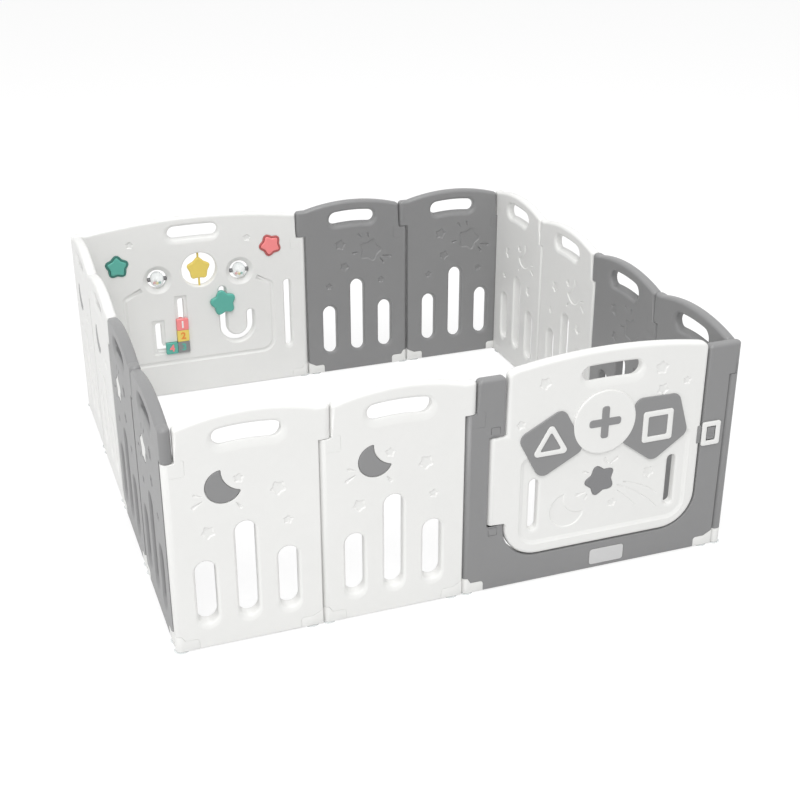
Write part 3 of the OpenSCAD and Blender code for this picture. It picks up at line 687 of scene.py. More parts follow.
class Board(Shell):
    """A plate with rounded rims whose two faces carry slots and hollows."""

    END_GAP = 0.004  # what the half-round ends stay short of a full half circle
    MARGIN = 1.2  # width of the flat margin that is kept round a face and round a slot
    LIP = 0.3  # width of the flat lip between that margin and a slot's flare
    FLARE = 7.0  # how deep a slot's flare reaches
    ARCH_RIM = 10.0  # radius of the rim along the arch and the shoulders
    PLAIN_RIM = 3.0  # radius of the other rims

    def __init__(self, sizes: RingSizes, outline: Outline) -> None:
        """Start with a plain plate.

        Args:
            sizes: the ring's shared sizes.
            outline: the plate's elevation.
        """
        super().__init__()
        self.sizes = sizes
        self.half = sizes.half
        self.slab(outline, -self.half, self.half)
        self.rims: dict[Side, list] = {}

    def round_ends(self, length: float) -> None:
        """Round the column and the knuckle of a board of a length to half cylinders."""
        near, far = SNAP - self.half, length + self.half - SNAP
        tests: tuple[EdgeTest, ...] = (
            lambda e: upright(e) and all(v.co.x < near for v in e.verts),
            lambda e: upright(e) and all(v.co.x > far for v in e.verts),
        )
        for test in tests:
            self.round_edges(self.half - self.END_GAP, 8, test)

    def round_rims(self, feet_top: float) -> None:
        """Round the arch with its shoulders, and then the other edges above the feet.

        Args:
            feet_top: height of the connectors let into the lower corners.
        """
        s = self.sizes

        def on_top(e: Edge) -> bool:
            """Whether an edge belongs to the arch, the knuckle's top or the column's ledge."""
            beside = upright_at(e, s.free) and lowest(e) > s.step - 3
            return not crosswise(e) and (lowest(e) > s.step + 20 or beside)

        def elsewhere(e: Edge) -> bool:
            """Whether an edge lies above the feet, or along the board's lower edge."""
            return lowest(e) > feet_top - 1 or highest(e) < s.lift + 0.1

        self.round_edges(self.ARCH_RIM, 6, on_top, least=35, rim=True)
        self.round_edges(self.PLAIN_RIM, 3, elsewhere, least=40)

    def open_faces(self) -> None:
        """Open both faces within a narrow margin, so that slots and hollows can be let in."""
        for side in Side:
            faces = [f for f in self.bm.faces if f.normal.y * side.value > 0.99]
            face = max(faces, key=lambda f: f.calc_area())
            bmesh.ops.inset_region(
                self.bm, faces=[face], thickness=self.MARGIN, use_even_offset=True,
                use_boundary=True,
            )
            self.rims[side] = list(face.edges)
            self.bm.faces.remove(face)

    @staticmethod
    def throat(lip: Outline, waist: Outline, face: float, depth: float) -> list[Loop]:
        """Loops from a crisp lip, where the wall leans, to a waist that it reaches square.

        Args:
            lip: outline at the face.
            waist: outline at the waist.
            face: depth of the face.
            depth: depth of the waist.

        Returns:
            The loops, from the lip's to the waist's.
        """
        lead, steps = math.radians(38.0), 7
        loops: list[Loop] = []
        for i in range(steps + 1):
            a = lead + (math.pi / 2 - lead) * i / steps
            share = (math.sin(a) - math.sin(lead)) / (1 - math.sin(lead))
            y = depth + (face - depth) * math.cos(a) / math.cos(lead)
            loops.append((Draw.mixed(lip, waist, share), y))
        return loops

    def slot(
        self, outer: Outline, near: Outline, far: Outline, inner: Outline, sunk: float = 0.0
    ) -> list:
        """Let in a slot: a flare at each face and a straight throat between its two waists.

        Args:
            outer: lip at the outer face.
            near: waist next to the outer face.
            far: waist next to the inner face.
            inner: lip at the inner face.
            sunk: how deep the outer lip lies below the outer face.

        Returns:
            The edges of the margin round the outer lip.
        """
        front, back = sunk - self.half, self.half
        waist = self.half - self.FLARE
        sills = (self.MARGIN, self.LIP)
        loops: list[Loop] = [(Draw.grown(outer, g), front) for g in sills]
        loops += self.throat(outer, near, front, -waist)
        loops += self.throat(inner, far, back, waist)[::-1]
        loops += [(Draw.grown(inner, g), back) for g in sills[::-1]]
        first, last = self.wall(loops)
        if not sunk:
            self.rims[Side.OUTER] += first
        self.rims[Side.INNER] += last
        return first

    def hole(self, loops: Sequence[Loop]) -> None:
        """Let in a hole whose loops run from the inner face to the outer one."""
        first, last = self.wall(loops)
        self.rims[Side.INNER] += first
        self.rims[Side.OUTER] += last

    def hollow(
        self, side: Side, shape: Shape, depth: float, slope: float = 3.4, soft: float = 0.6,
        floor: bool = True,
    ) -> list:
        """Let a shallow hollow into one face.

        Args:
            side: the face.
            shape: the hollow's outline at the face, at any growth.
            depth: how deep it is.
            slope: how far its wall leans in.
            soft: size of the small rounding at the lip and at the foot.
            floor: whether the floor is closed.

        Returns:
            The edges round the floor.
        """
        y = side.value * self.half
        d = side.value * depth
        foot = -slope - soft * 0.5
        rows = (
            (1.0, 0.0), (soft * 0.5, 0.0), (-soft * 0.4, 0.10), (-slope * 0.5, 0.62),
            (-slope + soft * 0.3, 0.94), (foot, 1.0), (foot - 0.4, 1.0),
        )
        first, last = self.wall([(shape(grow), y - d * share) for grow, share in rows])
        self.rims[side] += first
        if floor:
            self.fill(last)
        return last

    def pocket(self, side: Side, shape: Shape, depth: float) -> None:
        """Let in a pocket with upright walls, which a pressed-in piece fills."""
        self.hollow(side, shape, depth, slope=0.2, soft=0.5)

    def hinge_block(self) -> None:
        """Score the joint of the block that holds the pin's bore into both faces."""
        top, width, depth = self.sizes.step, 1.3, 0.6
        path = [(31.0, top + 6), (36.0, top + 6), (38.5, top + 3.5)]
        path += [(38.5, top - 35), (36.0, top - 37.5), (2.0, top - 37.5)]
        outline = Draw.stroke(path, width)
        for side in Side:
            y = side.value * self.half
            rows = ((Draw.grown(outline, 0.3), y), (outline, y))
            foot = (Draw.grown(outline, -width * 0.4), y - side.value * depth)
            first, last = self.wall([*rows, foot])
            self.rims[side] += first
            self.fill(last)

    def close(self) -> None:
        """Close what is left of both faces."""
        for side in Side:
            self.fill(self.rims[side])


@dataclass(frozen=True)
class Place:
    """Where a panel stands: its side of the square and its first hinge axis along that side.

    Attributes:
        sizes: the ring's shared sizes.
        side: 0 front, 1 right, 2 back and 3 left.
        start: pitches from the side's first corner.
    """

    sizes: RingSizes
    side: int
    start: int

    @property
    def matrix(self) -> Matrix:
        """From drawing millimetres to metres in the frame."""
        pitch = self.sizes.pitch
        return (
            Matrix.Rotation(math.radians(90 * self.side), 4, "Z")
            @ Matrix.Scale(MM, 4)
            @ Matrix.Translation(((self.start - 2) * pitch, -2 * pitch, 0))
        )


# -------- scene


def hung(name: str, data: bpy.types.ID) -> bpy.types.Object:
    """A new object in the scene that shows some data, such as a mesh or a light."""
    piece = bpy.data.objects.new(name, data)
    bpy.context.collection.objects.link(piece)
    return piece


# -------- materials


class Socket:
    """An output of a node, on which sums and products add Math nodes."""

    def __init__(self, maker: MaterialMaker, link: bpy.types.NodeSocket | None) -> None:
        """Wrap an output in a maker's tree, or None for a node that has no output."""
        self.maker = maker
        self.link = link

    def _math(self, operation: str, other: Socket | float) -> Socket:
        """A Math node on this output and another value."""
        return self.maker.node("ShaderNodeMath", {"operation": operation}, {0: self, 1: other})

    def __add__(self, other: Socket | float) -> Socket:
        """The sum, in either order."""
        return self._math("ADD", other)

    def __mul__(self, other: Socket | float) -> Socket:
        """The product, in either order."""
        return self._math("MULTIPLY", other)

    __radd__ = __add__
    __rmul__ = __mul__


class MaterialMaker:
    """Builds one node material."""

    def __init__(self, name: str) -> None:
        """Start with a material of that name and an empty tree."""
        self.material = bpy.data.materials.new(name)
        self.material.use_nodes = True
        self.tree = self.material.node_tree
        self.tree.nodes.clear()

    @classmethod
    def on_tree(cls, tree: bpy.types.NodeTree) -> MaterialMaker:
        """A maker for a tree that is no material's, such as the world's.

        Args:
            tree: the tree, whose nodes are removed.

        Returns:
            The maker.
        """
        maker = cls.__new__(cls)
        maker.tree = tree
        tree.nodes.clear()
        return maker

    def node(
        self, kind: str, settings: dict[str, object] | None = None,
        inputs: dict[object, object] | None = None, output: object = 0,
    ) -> Socket:
        """Add a node.

        Args:
            kind: the node's type.
            settings: its properties, set first.
            inputs: values or Sockets for its inputs, by name or number.
            output: the output that is returned.

        Returns:
            The chosen output.
        """
        made = self.tree.nodes.new(kind)
        for key, value in (settings or {}).items():
            setattr(made, key, value)
        for key, value in (inputs or {}).items():
            target = made.inputs[key]
            if isinstance(value, Socket):
                self.tree.links.new(value.link, target)
            else:
                target.default_value = value
        return Socket(self, made.outputs[output] if len(made.outputs) else None)

    def noise(self, scale: float, detail: float) -> Socket:
        """Even noise over the object, from 0 to 1.

        Args:
            scale: its scale, counted per metre.
            detail: how many finer layers it has.

        Returns:
            The noise.
        """
        place = self.node("ShaderNodeTexCoord", output="Object")
        inputs = {"Vector": place, "Scale": scale, "Detail": detail, "Roughness": 0.55}
        return self.node("ShaderNodeTexNoise", inputs=inputs, output="Fac")

    def bump(
        self, height: Socket, strength: float, distance: float, over: Socket | None = None
    ) -> Socket:
        """A normal that follows a height.

        Args:
            height: the height, from 0 to 1.
            strength: how strongly it shows.
            distance: what a height of 1 stands for, in metres.
            over: the normal that it is added to.

        Returns:
            The normal.
        """
        inputs = {"Strength": strength, "Distance": distance, "Height": height}
        if over:
            inputs["Normal"] = over
        return self.node("ShaderNodeBump", inputs=inputs)

    def mix(self, factor: Socket, a: Sequence[float], b: Sequence[float]) -> Socket:
        """A colour between a, where the factor is 0, and b, where it is 1."""
        inputs = {"Factor": factor, "A": (*a, 1.0), "B": (*b, 1.0)}
        return self.node("ShaderNodeMix", {"data_type": "RGBA"}, inputs, output=2)

    def finish(self, shader: Socket) -> bpy.types.Material:
        """Connect the shader and return the material."""
        self.node("ShaderNodeOutputMaterial", inputs={"Surface": shader})
        return self.material


@dataclass(frozen=True)
class Plastic:
    """Moulded plastic with a faint mottle, a fine grain and the slow waves of a thin wall.

    Attributes:
        name: the material's name.
        colour: base colour, linear.
        roughness: mean roughness.
        mottle: how far the colour varies, as a share.
        grain: strength of the fine grain.
        wave: strength of the slow waves.
        coat: weight of the clear top gloss.
        alpha: how opaque it is.
    """

    name: str
    colour: Triple
    roughness: float = 0.42
    mottle: float = 0.03
    grain: float = 0.12
    wave: float = 0.10
    coat: float = 0.0
    alpha: float = 1.0

    def make(self) -> bpy.types.Material:
        """Build the material."""
        maker = MaterialMaker(self.name)
        cloud = maker.noise(7.0, 2.0)
        speck = maker.noise(650.0, 2.0)
        swirl = maker.noise(60.0, 3.0)
        low = tuple(c * (1 - self.mottle) for c in self.colour)
        high = tuple(min(c * (1 + self.mottle), 1.0) for c in self.colour)
        base = maker.mix(cloud * 0.6 + swirl * 0.4, low, high)
        rough = swirl * 0.10 + speck * 0.06 + (self.roughness - 0.08)
        slow = maker.bump(maker.noise(9.0, 1.0), self.wave, 0.004)
        fine = maker.bump(speck, self.grain, 0.0004, slow)
        shader = maker.node(
            "ShaderNodeBsdfPrincipled",
            inputs={
                "Base Color": base, "Roughness": rough, "Normal": fine, "Coat Weight": self.coat,
                "Coat Roughness": 0.15, "IOR": 1.48, "Alpha": self.alpha,
            },
        )
        return maker.finish(shader)


@dataclass(frozen=True)
class ClearPlastic:
    """Clear plastic, seen through but for its gloss and its thick edges.

    Attributes:
        name: the material's name.
        colour: tint of what is seen through it.
        haze: how milky it is.
    """

    name: str
    colour: Triple
    haze: float = 0.25

    def make(self) -> bpy.types.Material:
        """Build the material."""
        maker = MaterialMaker(self.name)
        edge = maker.node("ShaderNodeLayerWeight", inputs={"Blend": 0.35}, output="Facing")
        flow = maker.noise(120.0, 2.0)
        alpha = edge * 0.55 + flow * 0.1 + self.haze
        ripple = maker.bump(flow, 0.2, 0.001)
        shader = maker.node(
            "ShaderNodeBsdfPrincipled",
            inputs={
                "Base Color": maker.mix(flow, self.colour, tuple(c * 0.94 for c in self.colour)),
                "Roughness": flow * 0.08 + 0.06, "Alpha": alpha, "Normal": ripple, "IOR": 1.46,
            },
        )
        return maker.finish(shader)


Finish = Plastic | ClearPlastic

WHITE = Plastic("white_plastic", (0.80, 0.80, 0.785))
GREY = Plastic("grey_plastic", (0.248, 0.248, 0.250), roughness=0.40, grain=0.35, mottle=0.04)
PALE = Plastic("pale_grey_plastic", (0.60, 0.60, 0.60), roughness=0.45)
DARK_GREY = Plastic("dark_grey_plastic", (0.215, 0.215, 0.22), grain=0.2)
TEAL = Plastic("teal_plastic", (0.100, 0.420, 0.345), roughness=0.34, coat=0.2)
DARK_TEAL = Plastic("dark_teal_plastic", (0.055, 0.21, 0.175), roughness=0.4)
RED = Plastic("red_plastic", (0.93, 0.265, 0.268), roughness=0.34, coat=0.2)
DARK_RED = Plastic("dark_red_plastic", (0.48, 0.12, 0.115), roughness=0.4)
YELLOW = Plastic("yellow_plastic", (0.83, 0.645, 0.138), roughness=0.36, coat=0.2)
ORANGE = Plastic("orange_plastic", (0.80, 0.27, 0.04), roughness=0.36, coat=0.2)
BRIGHT = Plastic("bright_white_plastic", (0.86, 0.86, 0.85), roughness=0.34, coat=0.2)
CLEAR = ClearPlastic("clear_plastic", (0.86, 0.90, 0.90))


class Palette:
    """Makes each finish once."""

    def __init__(self) -> None:
        """Start without any material."""
        self.made: dict[str, bpy.types.Material] = {}

    def __call__(self, finish: Finish) -> bpy.types.Material:
        """The material of a finish, made when it is first asked for."""
        if finish.name not in self.made:
            self.made[finish.name] = finish.make()
        return self.made[finish.name]


@dataclass(frozen=True)
class Shop:
    """What every sub-assembly needs to make and fit its pieces.

    Attributes:
        sizes: the ring's shared sizes.
        palette: the finishes.
    """

    sizes: RingSizes
    palette: Palette

    def fit(
        self, mesh: bpy.types.Mesh, name: str, finish: Finish, body: str, node: str = "",
        slot: str = "",
    ) -> None:
        """Make a finished piece of a mesh that is in place, and let it ride on a body.

        Args:
            mesh: the mesh.
            name: the piece's name.
            finish: its finish.
            body: the body that it rides on.
            node: the node that it stands for, if any.
            slot: not used.
        """
        mesh.materials.clear()
        mesh.materials.append(self.palette(finish))
        piece = hung(name, mesh)
        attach(piece, body)
        slot or finish.name
        if node:
            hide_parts(node)
        log.info("%s: %d faces on %s", name, len(mesh.polygons), body)

    def dress(self, node: str, finish: Finish) -> None:
        """Give a node of the frame a finish, and leave its mesh as it is."""
        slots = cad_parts[node].data.materials
        slots.clear()
        slots.append(self.palette(finish))


# -------- feet


@dataclass(frozen=True)
class Feet:
    """The white corner connectors under a panel, and their suction cups.

    Attributes:
        shop: where pieces are made.
        start_l: length of the wing beside the column.
        end_l: length of the wing at the flat end.
        wing: height of a wing.
        tall: height beside the seam.
        slope: length of the slope beside the column.
        end_slope: length of the slope at the flat end.
        corner: corner radius of a wing.
        edge_r: rounding of a connector's edges.
        cup_back: distance of the second cup from the next hinge axis.
        cup_r: radius of a cup.
    """

    # A cup's section: radius as a share of cup_r and height as a share of the lift.
    CUP = [
        (0.985, 0.0), (1.0, 0.12), (0.97, 0.30), (0.75, 0.50), (0.50, 0.72), (0.36, 0.97),
        (0.0, 0.97),
    ]

    shop: Shop
    start_l: float = 44.0
    end_l: float = 58.0
    wing: float = 29.0
    tall: float = 43.0
    slope: float = 8.0
    end_slope: float = 26.0
    corner: float = 9.0
    edge_r: float = 1.6
    cup_back: float = 45.0
    cup_r: float = 19.0

    @property
    def top(self) -> float:
        """Height of the connectors' upper ends above the floor."""
        return self.shop.sizes.lift + self.tall

    def start_corners(self, gap: float) -> list[Corner]:
        """Corners of the connector beside the column, from the left over the top to the right."""
        lift, wing = self.shop.sizes.lift, self.shop.sizes.lift + self.wing + gap
        return [
            (-self.shop.sizes.half, self.top + gap, 0), (gap, self.top + gap, 0),
            (self.slope + gap, wing, 0), (self.start_l + gap, wing, self.corner + gap),
            (self.start_l + gap, lift, 0),
        ]

    def end_corners(self, length: float, gap: float) -> list[Corner]:
        """Corners of the connector at the flat end, from the left over the top to the right."""
        lift, wing = self.shop.sizes.lift, self.shop.sizes.lift + self.wing + gap
        end = length - self.shop.sizes.free
        return [
            (end - self.end_l - gap, lift, 0), (end - self.end_l - gap, wing, self.corner + gap),
            (end - self.end_slope - gap, wing, 0), (end, self.top + gap, 0),
        ]

    def cuts(self, length: float) -> list[Corner]:
        """Corners of a board's lower edge, which leaves room for both connectors."""
        return [*self.start_corners(FIT), *self.end_corners(length, FIT)]

    def _connector(self, corners: Sequence[Corner], column: bool) -> Shell:
        """Make one connector.

        Args:
            corners: its corners, from the left over the top to the right.
            column: whether its left end is half round, as the column above it.

        Returns:
            The connector.
        """
        half = self.shop.sizes.half
        shell = Shell()
        shell.slab(Draw.filleted(corners[::-1]), -half, half)
        if column:
            near = SNAP - half
            shell.round_edges(
                half - SNAP, 8, lambda e: all(v.co.x < near for v in e.verts) and upright(e)
            )
        shell.round_edges(self.edge_r, 3, least=40)
        return shell

    def _cup(self, x: float) -> Shell:
        """A clear cup at x: a shallow bell on a short neck, with a lip that meets the floor."""
        lift, r, sole = self.shop.sizes.lift, self.cup_r, 0.02
        under = [(0.0, lift * 0.45), (r * 0.66, lift * 0.22), (r * 0.92, sole)]
        over = [(r * share, max(lift * up, sole)) for share, up in self.CUP]
        shell = Shell()
        shell.spun(under + over)
        shell.moved(Matrix.Translation((x, 0, 0)))
        return shell

    def build(self, place: Place, length: float, node: str, body: str) -> None:
        """Make both connectors and both cups of a panel.

        Args:
            place: where the panel stands.
            length: distance between its hinge axes.
            node: the node that they stand for together.
            body: the panel's body.
        """
        s = self.shop.sizes
        start = [(-s.half, s.lift, 0), *self.start_corners(0)]
        end = [*self.end_corners(length, 0), (length - s.free, s.lift, 0)]
        skins = (
            ("start", self._connector(start, True), WHITE),
            ("end", self._connector(end, False), WHITE), ("cup_start", self._cup(0.0), CLEAR),
            ("cup_end", self._cup(length - self.cup_back), CLEAR),
        )
        for tag, skin, finish in skins:
            name = f"{node}_{tag}"
            self.shop.fit(skin.to_mesh(name, place.matrix), name, finish, body, node)


# -------- standard panel


@dataclass(frozen=True)
class StandardPanel:
    """A standard fence panel: hand slot, three upright slots, an emblem and sunk stars.

    Attributes:
        shop: where pieces are made.
        feet: the connectors that its lower corners are cut for.
        arch_x: distance of the arch's peak from the column.
        arch_h: height of the peak.
        arch_r: radius of the arch.
        shoulder_l: length of the level shoulder.
        slot_pitch: distance between two upright slots.
        slot_w: width of their outer lips.
        slot_flare: how far their walls run in on each side.
        slot_low: height of their outer lips' lower ends.
        slot_tops: height of their upper ends.
        emblem_x: distance of the emblem from the column.
        emblem_h: height of its middle.
        emblem_deep: depth of its pocket.
    """

    # Rows for Arch.hand_slot.
    HAND = (
        (-4.5, 66.5, 98.5, 35.3), (-5.0, 58.8, 83.5, 19.8), (-5.0, 60.0, 84.0, 26.0),
        (-4.5, 61.5, 96.0, 35.3),
    )
    # Middle, reach and turn of each small star, and both ends and the radius of each ray.
    STARS = {
        Emblem.MOON: (
            (165, 460, 14, 83), (260, 416, 20.5, -95), (281, 324, 13, 82), (84, 327, 18.5, -97)
        ),
        Emblem.STAR: (
            (236, 480, 20, 101), (222, 397, 17.5, -98), (281, 330, 13, 92), (86, 334, 13, 97)
        ),
    }
    RAYS = {
        Emblem.MOON: ((57, 432, 74, 426, 4.6), (52, 400, 75, 413, 5.4), (166, 382, 157, 396, 5.0)),
        Emblem.STAR: (
            (168, 512, 158, 499, 4.6), (134, 513, 130, 498, 4.6), (187, 444, 171, 447, 5.0),
            (50, 419, 80, 425, 5.0), (77, 399, 88, 416, 4.8),
        ),
    }

    shop: Shop
    feet: Feet
    arch_x: float = 196.0
    arch_h: float = 637.0
    arch_r: float = 600.0
    shoulder_l: float = 24.0
    slot_pitch: float = 104.0
    slot_w: float = 65.0
    slot_flare: float = 7.0
    slot_low: float = 53.0
    slot_tops: Triple = (253.0, 345.0, 253.0)
    emblem_x: float = 127.0
    emblem_h: float = 444.0
    emblem_deep: float = 5.2

    @property
    def arch(self) -> Arch:
        """The arched top."""
        return Arch(self.arch_x, self.arch_h, self.arch_r)

    def outline(self) -> Outline:
        """The board's elevation, with its lower corners cut for the connectors."""
        s = self.shop.sizes
        length = s.pitch
        arch = self.arch.corners(length - self.shoulder_l - 6, s.free, 30)
        arch[-1] = (*arch[-1][:2], 11.0)
        shoulder = (length - self.shoulder_l + 4, s.shoulder, 3.0)
        top = [*s.knuckle(length), shoulder, *arch, *s.column_top()]
        return Draw.filleted([*self.feet.cuts(length), *top])

    def upright_slot(self, x: float, top: float) -> list[Outline]:
        """Lips and waists of an upright slot at x, whose sill slopes outwards."""
        low, w = self.slot_low, self.slot_w
        throat = w - 2 * self.slot_flare
        rows = ((0, 0, w), (16, -5.5, throat), (25, 2, throat), (12, 8, w - 4))
        return [Draw.stadium(x, low + foot, top + rise, width) for foot, rise, width in rows]

    def emblem_shape(self, emblem: Emblem) -> Shape:
        """The pressed-in piece's outline at any growth."""
        at = (self.emblem_x, self.emblem_h)
        if emblem is Emblem.MOON:
            return Draw.crescent_shape(*at, 45, 56, 65.5, 37.6, 3.4)
        return Draw.star_shape(*at, 40)

    def board(self, emblem: Emblem) -> Board:
        """Make the board of a panel."""
        s = self.shop.sizes
        board = Board(s, self.outline())
        board.round_ends(s.pitch)
        board.round_rims(self.feet.top)
        board.open_faces()
        board.slot(*self.arch.hand_slot(self.HAND))
        middle = (s.pitch - s.free - s.half) / 2 + 1.0
        for i, top in zip((-1, 0, 1), self.slot_tops):
            board.slot(*self.upright_slot(middle + i * self.slot_pitch, top))
        shape = self.emblem_shape(emblem)
        board.pocket(Side.OUTER, lambda grow: shape(grow + 0.8), self.emblem_deep)
        inside = Draw.star_shape(125, 449, 43, 108) if emblem is Emblem.STAR else shape
        board.hollow(Side.INNER, inside, 2.8, slope=3.6)
        sky = [Draw.star_shape(*star) for star in self.STARS[emblem]]
        sky += [Draw.drop_shape(*ray) for ray in self.RAYS[emblem]]
        for small in sky:
            for side in Side:
                board.hollow(side, small, 3.0)
        board.hinge_block()
        board.close()
        return board

    def emblem_piece(self, emblem: Emblem) -> Shell:
        """Make the pressed-in piece: a thin plate whose edge rolls over."""
        half, play = self.shop.sizes.half, 0.4
        shape = self.emblem_shape(emblem)
        return Shell.rolled(lambda grow: shape(grow - play), 5.0 - half, 0.3 - half, 4.2, 3.2)


@dataclass(frozen=True)
class FenceRing:
    """The twelve standard panels.

    Attributes:
        shop: where pieces are made.
        feet: the connectors under every panel.
    """

    # Name of each side of the square, pitches to its first panel, way in which its numbers run,
    # and finish of each of its boards.
    SIDES = (
        ("front", 0, 1, (WHITE, WHITE)), ("right", 0, 1, (GREY, GREY, WHITE, WHITE)),
        ("back", 0, 1, (GREY, GREY)), ("left", 3, -1, (GREY, GREY, WHITE, WHITE)),
    )
    # Emblem in a board of each finish, and the emblem's own finish.
    EMBLEMS = {WHITE: (Emblem.MOON, GREY), GREY: (Emblem.STAR, WHITE)}

    shop: Shop
    feet: Feet

    @staticmethod
    def _patterns(make: Callable[[Emblem], Shell]) -> dict[Emblem, bpy.types.Mesh]:
        """One mesh of each kind, still in drawing space."""
        return {e: make(e).to_mesh(f"pattern_{e.value}", Matrix.Identity(4)) for e in Emblem}

    def build(self) -> None:
        """Make every panel, its emblem and its feet."""
        panel = StandardPanel(self.shop, self.feet)
        boards = self._patterns(panel.board)
        emblems = self._patterns(panel.emblem_piece)
        for side, (name, start, way, finishes) in enumerate(self.SIDES):
            for i, board_finish in enumerate(finishes):
                place = Place(self.shop.sizes, side, start + way * i)
                body = f"{name}_{i + 1}"
                emblem, emblem_finish = self.EMBLEMS[board_finish]
                pieces = (
                    (boards[emblem], "panel", board_finish),
                    (emblems[emblem], emblem.value, emblem_finish),
                )
                for pattern, word, finish in pieces:
                    mesh = pattern.copy()
                    mesh.transform(place.matrix)
                    node = f"{name}_{word}_{i + 1}"
                    self.shop.fit(mesh, f"{node}_skin", finish, body, node)
                self.feet.build(place, self.shop.sizes.pitch, f"{name}_feet_{i + 1}", body)
        for mesh in (*boards.values(), *emblems.values()):
            bpy.data.meshes.remove(mesh)


# -------- wide panels


@dataclass(frozen=True)
class WidePanel:
    """A panel two pitches long.

    Attributes:
        shop: where pieces are made.
        feet: the connectors under it.
    """

    SPOT = (0, 0)  # its side of the square, and pitches from that side's first corner

    shop: Shop
    feet: Feet

    @property
    def place(self) -> Place:
        """Where the panel stands."""
        return Place(self.shop.sizes, *self.SPOT)

    @property
    def length(self) -> float:
        """Distance between its hinge axes."""
        return 2 * self.shop.sizes.pitch

    def fit(
        self, shell: Shell, name: str, finish: Finish, body: str, node: str = "", slot: str = ""
    ) -> None:
        """Fit one of the panel's skins, as Shop.fit does."""
        mesh = shell.to_mesh(name, self.place.matrix)
        self.shop.fit(mesh, name, finish, body, node, slot)


# -------- gate


